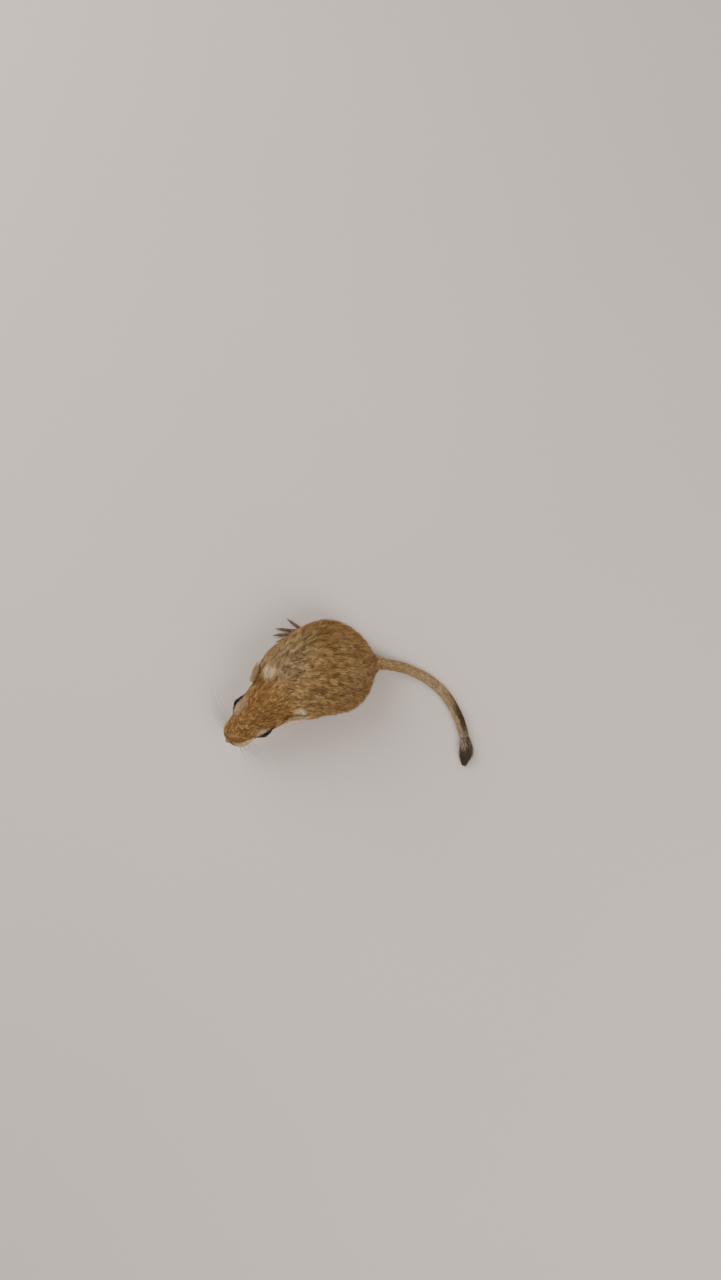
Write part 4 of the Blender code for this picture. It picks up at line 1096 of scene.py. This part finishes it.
def scatter(rng, faces, area, dense):
    """Faces and places in them, in proportion to area and density."""
    weight = area * dense[faces].mean(1)
    total = np.cumsum(weight)
    count = int(total[-1])
    marks = (np.arange(count) + rng.random(count)) * total[-1] / count
    face = np.minimum(np.searchsorted(total, marks), len(faces) - 1)
    u, v = rng.random(count), rng.random(count)
    flip = u + v > 1
    u[flip], v[flip] = 1 - u[flip], 1 - v[flip]
    return face, np.stack([1 - u - v, u, v], axis=1)


BLADE_FACES = np.array([
    (0, 2, 1), (0, 1, 4), (0, 4, 3), (1, 2, 5), (1, 5, 4),
    (2, 0, 3), (2, 3, 5), (3, 4, 6), (4, 5, 6), (5, 3, 6),
])
BLADE_POINTS = 7
BLADE_ACROSS = np.array([-0.5, 0.5, 0.0, -0.5, 0.5, 0.0, 0.0])
BLADE_ALONG = np.array([0.0, 0.0, 0.0, 0.5, 0.5, 0.5, 1.0])


def blades(root, tip, normal, width, arch, sway):
    """Points of thin closed blades with three sides and a bend half way."""
    way = tip - root
    long_ = np.linalg.norm(way, axis=1, keepdims=True)
    way = way / np.maximum(long_, 1e-9)
    across = unit(np.cross(way, normal))
    over = np.cross(across, way)
    middle = root + (tip - root) * 0.52 + over * arch[:, None] + across * sway[:, None]
    w = width[:, None]
    rings = []
    for spot, size in ((root, 0.8), (middle, 1.0)):
        rings += [
            spot - across * w * 0.5 * size - over * w * 0.12 * size,
            spot + across * w * 0.5 * size - over * w * 0.12 * size,
            spot + over * w * 0.30 * size,
        ]
    return np.stack([*rings, tip], axis=1)


def facing_out(verts, faces):
    a, b, c = (verts[faces[:, i]] - verts[faces[0, 0]] for i in range(3))
    return np.einsum("ij,ij->i", a, np.cross(b, c)).sum() > 0


def coat_piece(name, points, root_uv, marks, material):
    """A joined mesh of tufts with its bake map and its markings."""
    count = len(points)
    verts = points.reshape(-1, 3)
    starts = BLADE_POINTS * np.arange(count)[:, None, None]
    faces = (BLADE_FACES[None] + starts).reshape(-1, 3)
    if not facing_out(verts, BLADE_FACES):
        faces = faces[:, ::-1]
    made = piece_from(name, verts, faces, material)
    mesh = made.data
    across = np.tile(BLADE_ACROSS, count)
    along = np.tile(BLADE_ALONG, count)
    uv = np.repeat(root_uv, BLADE_POINTS, axis=0)
    uv = uv + np.stack([across, along - 0.5], axis=1) * TUFT_PATCH
    uv = np.clip(uv, 0.0, 1.0)
    layer = mesh.uv_layers.new(name="OFBake")
    layer.uv.foreach_set("vector", uv[faces.ravel()].astype(np.float32).ravel())
    store(mesh, "along", along)
    for label, values in marks.items():
        store(mesh, label, np.repeat(values, BLADE_POINTS) if values.ndim == 1 else values)
    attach(made, "root")
    return made


def ripples(points, rng, size):
    """A smooth random wave over the points, about as long as the size."""
    total = np.zeros(len(points))
    for _ in range(7):
        way = unit(rng.normal(0, 1, 3)) * 2 * math.pi / (size * (0.7 + 0.6 * rng.random()))
        total += np.sin(points @ way + rng.random() * 2 * math.pi)
    return total / math.sqrt(3.5)


def coat_chart(root, pick):
    """Places along and across the lie of the hair, closer together along it."""
    swept = smooth(30, 42, pick["behind"])
    along = pick["behind"] * (1 - swept) + (root @ SWEEP + 75.5) * swept
    aside = pick["side"] * (1 - swept) + (root @ SWEEP_ACROSS - 6.0) * swept
    chart = np.stack([along * 0.34, aside, root[:, 2]], axis=1)
    return np.where((pick["body"] > 0.5)[:, None], chart, root)


def locks_of(rng, chart, dense, length):
    """The tuft at the heart of each lock, and the lock that each tuft belongs to."""
    spacing = np.clip(length * 0.14, 0.40, 0.46)
    chosen = rng.random(len(chart)) < 1.0 / np.maximum(dense * spacing**2 * 3.0, 1.0)
    seeds = np.flatnonzero(chosen)
    tree = KDTree(len(seeds))
    for i, p in enumerate(chart[seeds].tolist()):
        tree.insert(p, i)
    tree.balance()
    return seeds, np.array([tree.find(p)[1] for p in chart.tolist()])


def coat_groups(pick):
    """Which tufts go into each piece of the coat, by place."""
    tail, ear, foot = (pick[name] > 0.5 for name in ("tail", "ear", "foot"))
    far = pick["behind"]
    left = pick["side"] > 0
    body = ~(tail | ear | foot)
    head = body & (far < HEAD_END)
    trunk = body & ~head
    belly = trunk & (pick["level"] < 0.2)
    back = trunk & ~belly
    groups = {
        "coat_face_left": head & left & (far < FACE_END),
        "coat_face_right": head & ~left & (far < FACE_END),
        "coat_crown_left": head & left & (far >= FACE_END),
        "coat_crown_right": head & ~left & (far >= FACE_END),
        "coat_tail": tail,
        "coat_ears_and_feet": ear | foot,
        "coat_belly": belly,
    }
    for name, start, end in BACK_PIECES:
        within = back & (far >= start) & (far < end)
        groups[f"coat_{name}_left"] = within & left
        groups[f"coat_{name}_right"] = within & ~left
    return groups


def grow_coat(rng, skin, faces, area, normal, fields, outline_tree, uv, path, material):
    """All the short coat, parted into pieces by place."""
    face, shares = scatter(rng, faces, area, fields.dense * (1 - fields.brush))
    corners = faces[face]
    root = bary_mix(skin, corners, shares)
    up = unit(bary_mix(normal, corners, shares))
    flow = bary_mix(fields.flow, corners, shares)
    flow = unit(flow - up * (flow * up).sum(-1, keepdims=True))
    across = np.cross(up, flow)
    pick = {name: bary_mix(getattr(fields, name), corners, shares) for name in PICKED}
    count = len(root)
    root_uv = (uv[face] * shares[:, :, None]).sum(1)

    # Neighbouring tufts lean together into locks that are longer than wide.
    chart = coat_chart(root, pick)
    seeds, lock = locks_of(rng, chart, bary_mix(fields.dense, corners, shares), pick["length"])
    centre = root[seeds][lock]
    lock_tone, lock_turn, lock_lift, lock_length = (
        rng.normal(0, 1, len(seeds))[lock] for _ in range(4)
    )
    wave, fleck, drift = (ripples(chart, rng, size) for size in (1.9, 1.0, 2.6))

    rough = smooth(30, 48, pick["behind"]) * pick["body"]
    turn = 0.11 * lock_turn + 0.16 * rough * wave + rng.normal(0, 0.09, count)
    length = pick["length"] * (1 + 0.10 * lock_length * rough + rng.normal(0, 0.13, count))
    fringe = smooth(52, 64, pick["behind"]) * smooth(0.35, 0.8, np.abs(pick["share"])) * pick["body"]
    fringe = np.maximum(fringe, smooth(70, 75, pick["behind"]) * pick["body"])
    stray = rng.random(count) < 0.02 * rough + 0.004 + 0.11 * fringe
    length = length * np.where(stray, 1.18, 1.0)
    way = flow * np.cos(turn)[:, None] + across * np.sin(turn)[:, None]
    target = root + way * np.maximum(length**2 - pick["depth"] ** 2, 0.04)[:, None] ** 0.5
    pull = (0.30 + 0.24 * rough)[:, None]
    gather = centre + way * ((target - centre) * way).sum(-1, keepdims=True)
    target = target + (gather - target) * pull
    tip = np.empty_like(target)
    out = np.empty_like(target)
    for i, p in enumerate((target + up * pick["depth"][:, None]).tolist()):
        tip[i], out[i], _, _ = outline_tree.find_nearest(p)
    # Each tuft's lock-wide blend: partly the coat's own ticking, partly painted shade in the gaps between
    # locks and painted highlight on their tops.
    blend = 0.75 * lock_tone + 0.42 * fleck + 0.26 * drift
    stand = rng.normal(-0.20, 0.15, count) + (0.10 + 0.10 * rough) * lock_lift - 0.20 * rough * blend
    stand = np.where(stray, 0.45 + (0.35 + 0.55 * fringe) * rng.random(count), stand)
    stand = np.clip(stand * np.clip(pick["depth"] / 1.2, 0.12, 1.0), -0.75 * pick["depth"], 1.35)
    tip = tip + out * stand[:, None]
    arch = length * 0.07 + rng.normal(0, 0.02, count) * length
    sway = rng.normal(0, 0.05, count) * length
    width = np.interp(pick["length"], TUFT_LENGTHS, TUFT_WIDTHS)
    width = width * (1 + rng.normal(0, 0.18, count)).clip(0.6, 1.5)
    width = np.where(pick["ear"] > 0.5, EAR_TUFT_WIDTH, width * (1 - 0.2 * pick["limb"]))

    # Dark tone and straw streak follow the blend: painted shade in the gaps and painted highlight on the
    # locks, over the hair's own ticking.
    tone = np.clip(0.46 + (0.39 - 0.02 * rough) * blend + rng.normal(0, 0.12, count), 0, 1)
    streak = smooth(0.1, 1.4, -blend + rng.normal(0, 0.3, count)) * (0.75 + 0.25 * rough)
    # Painted shade: the middle of the left flank is darkened, on that side only.
    low = smooth(0, 11, pick["side"]) * smooth(0.25, 0.45, pick["level"]) * rough
    tone = np.clip(tone + 0.18 * smooth(32, 22, pick["behind"]) + 0.17 * rough + 0.20 * low, 0, 1)
    on_tail = pick["tail"] > 0.5
    wavering = tail_marks(root, path, rng.normal(0, 0.11, count))
    for name, values in zip(("dark", "pale", "white"), wavering):
        pick[name] = np.where(on_tail, values, pick[name])
    marks = {
        "tone": tone, "streak": streak, "pale": pick["pale"].clip(0, 1), "white": pick["white"],
        "warm": pick["warm"], "grey": pick["grey"], "dark": pick["dark"].clip(0, 1),
    }
    points = blades(root, tip, up, width, arch, sway)
    points[:, :, 2] = np.maximum(points[:, :, 2], TUFT_OFF_FLOOR)
    for name, mask in coat_groups(pick).items():
        some = np.flatnonzero(mask)
        picked = {label: values[some] for label, values in marks.items()}
        coat_piece(name, points[some], root_uv[some], picked, material)


# Tail brush, whiskers, claws, eyes and lid rims


def make_brush(rng, path, uv_of, material):
    """The longer dark hairs that make the tail's brush."""
    count = BRUSH_HAIRS
    share = BRUSH_START + BRUSH_SPAN * rng.random(count) ** 0.85
    at = share * (len(path) - 1)
    i = np.minimum(at.astype(int), len(path) - 2)
    spot = path[i] + (path[i + 1] - path[i]) * (at - i)[:, None]
    way = unit(path[i + 1] - path[i])
    across = unit(np.cross(way, UP))
    upward = np.cross(across, way)
    turn = rng.random(count) * 2 * math.pi
    out = across * np.cos(turn)[:, None] + upward * np.sin(turn)[:, None]
    along = (share - BRUSH_START) / BRUSH_SPAN
    core = np.interp(along, [0, 0.5, 1], [1.4, 1.1, 0.4])
    root = spot + out * core[:, None] * 0.8
    length = np.interp(along, [0, 0.35, 1.0], [3.6, 5.4, 5.6]) * (1 + rng.normal(0, 0.12, count))
    reach = np.interp(along, [0, 0.3, 0.5, 1.0], [1.3, 2.1, 1.9, 0.5]) * (1 + rng.normal(0, 0.24, count))
    reach = reach * np.where(along > 0.72, rng.random(count) ** 0.5, 1.0)
    tip = root + way * length[:, None] + out * reach[:, None]
    tip += rng.normal(0, 0.16, (count, 3))
    last = path[-1] + unit(path[-1] - path[-2]) * 3.7
    beyond = ((tip - last) * way).sum(1) + 1.7 * np.abs(reach - 0.3) + rng.random(count) * 1.1
    tip -= way * np.maximum(beyond, 0)[:, None] * 0.88
    width = 0.19 * (1 + rng.normal(0, 0.15, count)).clip(0.6, 1.4)
    points = blades(root, tip, out, width, 0.10 * length, rng.normal(0, 0.04, count) * length)
    points[:, :, 2] = np.maximum(points[:, :, 2], TUFT_OFF_FLOOR)
    reached = share[:, None] + BLADE_ALONG * (length / TAIL_LENGTH)[:, None]
    ticked = rng.random(count) < 0.10 + 0.55 * smooth(0.3, -0.3, np.cos(turn))
    dark = smooth(0.920, 0.940, reached + rng.normal(0, 0.013, count)[:, None])
    marks = {
        "tone": 0.25 + 0.5 * rng.random(count),
        "streak": rng.random(count) * 0.3,
        "pale": 0.36 + 0.2 * rng.random(count),
        "warm": np.zeros(count),
        "grey": np.full(count, 0.8),
        "white": np.full(count, 0.7),
        "dark": np.clip(0.42 + dark + 0.60 * ticked[:, None], 0, 0.90),
    }
    made = coat_piece("tail_brush", points, uv_of(root), marks, material)


def curved_hair(root, way, bend, length, radius, parts, sides):
    share = np.linspace(0, 1, parts + 1)
    path = root + way * (share * length)[:, None] + bend * (share**2 * length)[:, None]
    radii = radius * (1 - 0.92 * share)
    return tube(path, radii, sides), share


def joined_hairs(name, hairs, material):
    """Many slim tubes joined, each with its share along itself."""
    forms = [form for form, _, _ in hairs]
    verts, faces = joined(forms)
    made = piece_from(name, verts, faces, material)
    along = []
    for _, share, sides in hairs:
        along.append(np.concatenate([np.repeat(share, sides), [share[0], share[-1]]]))
    store(made.data, "along", np.concatenate(along))
    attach(made, "root")


def make_whiskers(rng, outline_tree, material):
    """Rows of whiskers on the muzzle, and a few over each eye."""
    hairs = []
    for hand in SIDES.values():
        for row in range(4):
            for k in range(5 - row % 2):
                behind = 2.6 + 1.25 * k + rng.normal(0, 0.15)
                z = 10.9 + 1.15 * row + 0.22 * k + rng.normal(0, 0.12)
                start = head_spot(behind, hand * 14.0, z)
                hit = outline_tree.ray_cast(Vector(start), Vector(-HEAD_LEFT * hand))
                if hit[0] is None:
                    continue
                root = np.array(hit[0]) - np.array(hit[1]) * 0.3
                length = 8.0 + 3.6 * k + rng.normal(0, 1.0)
                lift = 0.16 * (row - 1.2) + rng.normal(0, 0.07)
                way = HEAD_LEFT * hand * 0.86 + HEADING * (0.42 - 0.12 * k) + UP * lift
                bend = -HEADING * 0.34 - UP * (0.10 + 0.05 * rng.random())
                hairs.append((*curved_hair(root, unit(way), bend, length, 0.040, 9, 5), 5))
        centre, out, to_ear, upward = eye_frame(hand)
        for k in range(3):
            start = centre + upward * 9 - to_ear * (0.5 + 0.9 * k) + out * 1.6
            hit = outline_tree.ray_cast(Vector(start), Vector(-upward))
            if hit[0] is None:
                continue
            root = np.array(hit[0]) - np.array(hit[1]) * 0.25
            way = unit(UP * 0.8 + HEAD_LEFT * hand * 0.7 - HEADING * 0.4 * (k - 1))
            bend = -HEADING * 0.3 - UP * 0.2
            hairs.append((*curved_hair(root, way, bend, 6.5 + k, 0.036, 8, 5), 5))
    joined_hairs("whiskers", hairs, material)


def claw(root, way, length, radius, sides):
    """A curved claw, with its shares along itself and its number of sides."""
    share = np.linspace(0, 1, 9)
    drop = UP * (-0.32 * length * share**2)[:, None]
    hook = UP * (0.22 * length * np.sin(share * math.pi * 0.5) * (1 - share))[:, None]
    path = root + way * (length * share)[:, None] + drop + hook
    return tube(path, radius * (1 - 0.9 * share**1.3), sides), share, sides


def make_claws(material):
    """Slim curved claws over those of the solids."""
    claws = []
    for heel, toes, splay, outward in HIND_FEET.values():
        heel, toes = np.array(heel), np.array(toes)
        way = unit(toes - heel)
        side = np.array([way[1], -way[0], 0.0]) * outward
        for across, start, length, turn in HIND_TOES:
            heading = turned(way, -turn * outward * splay)
            root = toes + side * across + way * (start - 1.6) + UP * HIND_TOE_Z
            tip = root + heading * (length + 1.6) - UP * HIND_TOE_DROP
            claws.append(claw(tip - heading * 0.35, heading, HIND_CLAW_LENGTH, HIND_CLAW_RADIUS, 10))
    for _, wrist, turn in ARMS.values():
        way = turned((0.0, -1.0, 0.0), turn)
        side = np.array([way[1], -way[0], 0.0])
        palm = np.array([wrist[0], wrist[1], FORE_TOE_Z])
        for across, length, toe_turn in FORE_TOES:
            heading = turned(way, -toe_turn)
            root = palm + way * 2.6 + side * across
            tip = root + heading * (length + 0.8) - UP * FORE_TOE_DROP
            claws.append(claw(tip - heading * 0.25, heading, FORE_CLAW_LENGTH, FORE_CLAW_RADIUS, 8))
    joined_hairs("claws", claws, material)


def make_eye(name, hand, material):
    """A dark wet ball with a slightly raised cornea."""
    centre, out, to_ear, upward = eye_frame(hand)
    verts, faces = ball(np.zeros(3), (1, 1, 1), 64)
    facing = np.clip(verts[:, 2], 0, 1)
    size = EYE_RADIUS * (1 + 0.035 * smooth(0.72, 1.0, facing))
    turn = np.stack([to_ear, upward, out])
    verts = centre + (verts * size[:, None]) @ turn
    made = piece_from(name, verts, faces, material)
    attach(made, "root")
    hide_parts(name)


def lid_edge(eye, turn):
    """The spot on the edge of the lids' opening, one way round from the eye's middle."""
    centre, out, to_ear, upward = eye
    ray = to_ear * math.cos(turn) + upward * math.sin(turn)
    low, high = 0.0, math.pi / 2
    for _ in range(24):
        angle = (low + high) / 2
        spot = (out * math.cos(angle) + ray * math.sin(angle)) * (EYE_RADIUS + RIM_LIFT)
        local = np.array([spot @ to_ear, spot @ upward, spot @ out - EYE_RADIUS])
        if np.linalg.norm(local / LID_OPENING) < 1:
            low = angle
        else:
            high = angle
    return centre + spot


def lid_rim(eye):
    """A slim closed ring round the opening of one eye's lids."""
    centre = eye[0]
    turns = np.linspace(0, 2 * math.pi, RIM_SPOTS + 1)[:-1]
    spots = lidded(np.array([lid_edge(eye, turn) for turn in turns]))
    way = unit(np.roll(spots, -1, axis=0) - np.roll(spots, 1, axis=0))
    outward = unit(spots - centre)
    across = np.cross(way, outward)
    turn = 2 * math.pi * np.arange(RIM_SIDES) / RIM_SIDES
    ring = np.cos(turn)[:, None] * across[:, None] * RIM_HALF_WIDTH
    ring = ring + np.sin(turn)[:, None] * outward[:, None] * RIM_HALF_HEIGHT
    verts = (spots[:, None] + ring).reshape(-1, 3)
    faces = []
    for i in range(RIM_SPOTS):
        after = (i + 1) % RIM_SPOTS
        for k in range(RIM_SIDES):
            beside = (k + 1) % RIM_SIDES
            a, b = i * RIM_SIDES + k, i * RIM_SIDES + beside
            c, d = after * RIM_SIDES + beside, after * RIM_SIDES + k
            faces += [(a, b, c), (a, c, d)]
    faces = np.array(faces)
    a, b, c = (verts[faces[:, i]] - centre for i in range(3))
    if np.einsum("ij,ij->i", a, np.cross(b, c)).sum() < 0:
        faces = faces[:, ::-1]
    return verts, faces


def make_lid_rims(material):
    """The thin dark margins of the lids."""
    verts, faces = joined([lid_rim(eye_frame(hand)) for hand in SIDES.values()])
    made = piece_from("lid_rims", verts, faces, material)
    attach(made, "root")


# Studio


def make_floor():
    made, n, sheet = shader("studio_floor")
    cloud = n.noise(6.0, 2.0, 0.5)
    n.feed(sheet.inputs["Base Color"], n.mix(cloud, (0.655, 0.57, 0.52), (0.695, 0.61, 0.56)))
    set_values(sheet, Roughness=0.85, Specular_IOR_Level=0.2)
    size = 3000.0
    verts = np.array([(-size, -size, 0), (size, -size, 0), (size, size, 0), (-size, size, 0)], float)
    floor = piece_from("floor", verts, np.array([(0, 1, 2), (0, 2, 3)]), made)


def soft_light(name, place, aim, size, power, colour):
    lamp = bpy.data.lights.new(name, "AREA")
    lamp.shape = "DISK"
    lamp.size = size
    lamp.energy = power
    lamp.color = colour
    made = bpy.data.objects.new(name, lamp)
    made.location = place
    made.rotation_euler = (Vector(aim) - Vector(place)).to_track_quat("-Z", "Y").to_euler()
    bpy.context.scene.collection.objects.link(made)


def make_studio():
    soft_light("key", (0.42, 0.22, 0.62), (0, 0, 0.01), 0.45, 3.0, (1.0, 0.965, 0.92))
    soft_light("fill", (-0.55, -0.30, 0.50), (0, 0, 0.01), 0.8, 5.3, (1.0, 0.985, 0.96))
    world = bpy.data.worlds.new("studio")
    world.use_nodes = True
    world.node_tree.nodes["Background"].inputs["Color"].default_value = (0.92, 0.90, 0.88, 1.0)
    world.node_tree.nodes["Background"].inputs["Strength"].default_value = 0.55
    bpy.context.scene.world = world


PICTURE_RIGHT = Vector((0.304, 0.952, 0.0))  # the way across the picture, on the floor
CAMERA_AT = np.array([18.356, 21.072, 426.858])
FLOOR_POINT = (430.067, 687.121)  # where the point under the camera shows
CAMERA_ROLL = math.radians(-0.295)
PICTURE = (721.0, 1280.0)
REACH = 924.0  # focal length in pixels of the picture


def make_camera():
    lens = bpy.data.cameras.new("camera")
    lens.sensor_width = 36.0
    lens.sensor_fit = "AUTO"
    lens.lens = 36.0 * REACH / PICTURE[1]
    lens.clip_start = 0.01
    made = bpy.data.objects.new("camera", lens)
    right = Matrix.Rotation(CAMERA_ROLL, 3, "Z") @ PICTURE_RIGHT.normalized()
    plan = Matrix((right, Vector((-right.y, right.x, 0)), Vector((0, 0, 1)))).transposed()
    ray = Vector((FLOOR_POINT[0] - PICTURE[0] / 2, -(FLOOR_POINT[1] - PICTURE[1] / 2), -REACH))
    tilt = ray.normalized().rotation_difference(Vector((0, 0, -1))).to_matrix()
    place = Vector((CAMERA_AT - SHIFT) * MM)
    made.matrix_world = Matrix.Translation(place) @ (plan @ tilt).to_4x4()
    bpy.context.scene.collection.objects.link(made)
    bpy.context.scene.camera = made


# The whole animal


def unwrap(made):
    """An unwrap of the skin's own shape, named for the bake."""
    bpy.ops.object.select_all(action="DESELECT")
    bpy.context.view_layer.objects.active = made
    made.select_set(True)
    made.data.uv_layers.new(name="OFBake")
    bpy.ops.object.mode_set(mode="EDIT")
    bpy.ops.mesh.select_all(action="SELECT")
    bpy.ops.uv.smart_project(angle_limit=math.radians(72), island_margin=0.003)
    bpy.ops.object.mode_set(mode="OBJECT")
    made.select_set(False)
    count = len(made.data.loops)
    flat = np.empty(count * 2, np.float32)
    made.data.uv_layers["OFBake"].uv.foreach_get("vector", flat)
    return flat.reshape(-1, 3, 2).astype(float)


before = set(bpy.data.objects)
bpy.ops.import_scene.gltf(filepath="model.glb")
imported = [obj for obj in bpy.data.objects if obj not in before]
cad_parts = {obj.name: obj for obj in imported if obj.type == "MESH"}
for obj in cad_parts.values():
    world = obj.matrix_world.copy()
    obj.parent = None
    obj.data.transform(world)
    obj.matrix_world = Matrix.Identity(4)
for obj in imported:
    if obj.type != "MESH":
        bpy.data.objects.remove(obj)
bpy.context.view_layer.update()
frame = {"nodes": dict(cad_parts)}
low_corner, high_corner = (np.array(c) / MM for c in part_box("eye_left"))
SHIFT = np.zeros(3)
SHIFT[:2] = (eye_frame(1)[0] - (low_corner + high_corner) / 2)[:2]
CHART = Chart()
random = np.random.default_rng(SEED)
tail_line = curve_through(TAIL_ROUTE, 180)

shell, triangles = make_shell(frame, tail_line)
fields, outline, skin_verts = make_fields(frame, shell, triangles, tail_line)
outline_tree = BVHTree.FromPolygons(outline.tolist(), triangles.tolist())
skin_normal, skin_area = normals_of(skin_verts, triangles)

coat_group, bare_group = coat_colour_group(), bare_colour_group()
skin = piece_from("skin", skin_verts, triangles, skin_material(coat_group, bare_group))
for label in ("pale", "white", "warm", "grey", "dark", "bare", "lid", "snout"):
    store(skin.data, label, getattr(fields, label))
store(skin.data, "tone", np.full(len(skin_verts), 0.45))
store(skin.data, "streak", np.full(len(skin_verts), 0.1))
store(skin.data, "short", smooth(26, 12, fields.behind) * fields.body)
skin_uv = unwrap(skin)
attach(skin, "root")
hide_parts(*FLESH)

coat = coat_material(coat_group)
grow_coat(
    random, skin_verts, triangles, skin_area, skin_normal, fields, outline_tree, skin_uv, tail_line,
    coat,
)

skin_tree = BVHTree.FromPolygons(skin_verts.tolist(), triangles.tolist())


def nearest_uv(points):
    found = [skin_tree.find_nearest(p)[2] for p in points.tolist()]
    return skin_uv[found].mean(1)


make_brush(random, tail_line, nearest_uv, coat)
make_whiskers(random, outline_tree, whisker_material())
make_claws(claw_material())
eye = eye_material()
make_eye("eye_left", 1, eye)
make_eye("eye_right", -1, eye)
make_lid_rims(rim_material())

make_floor()
make_studio()
make_camera()
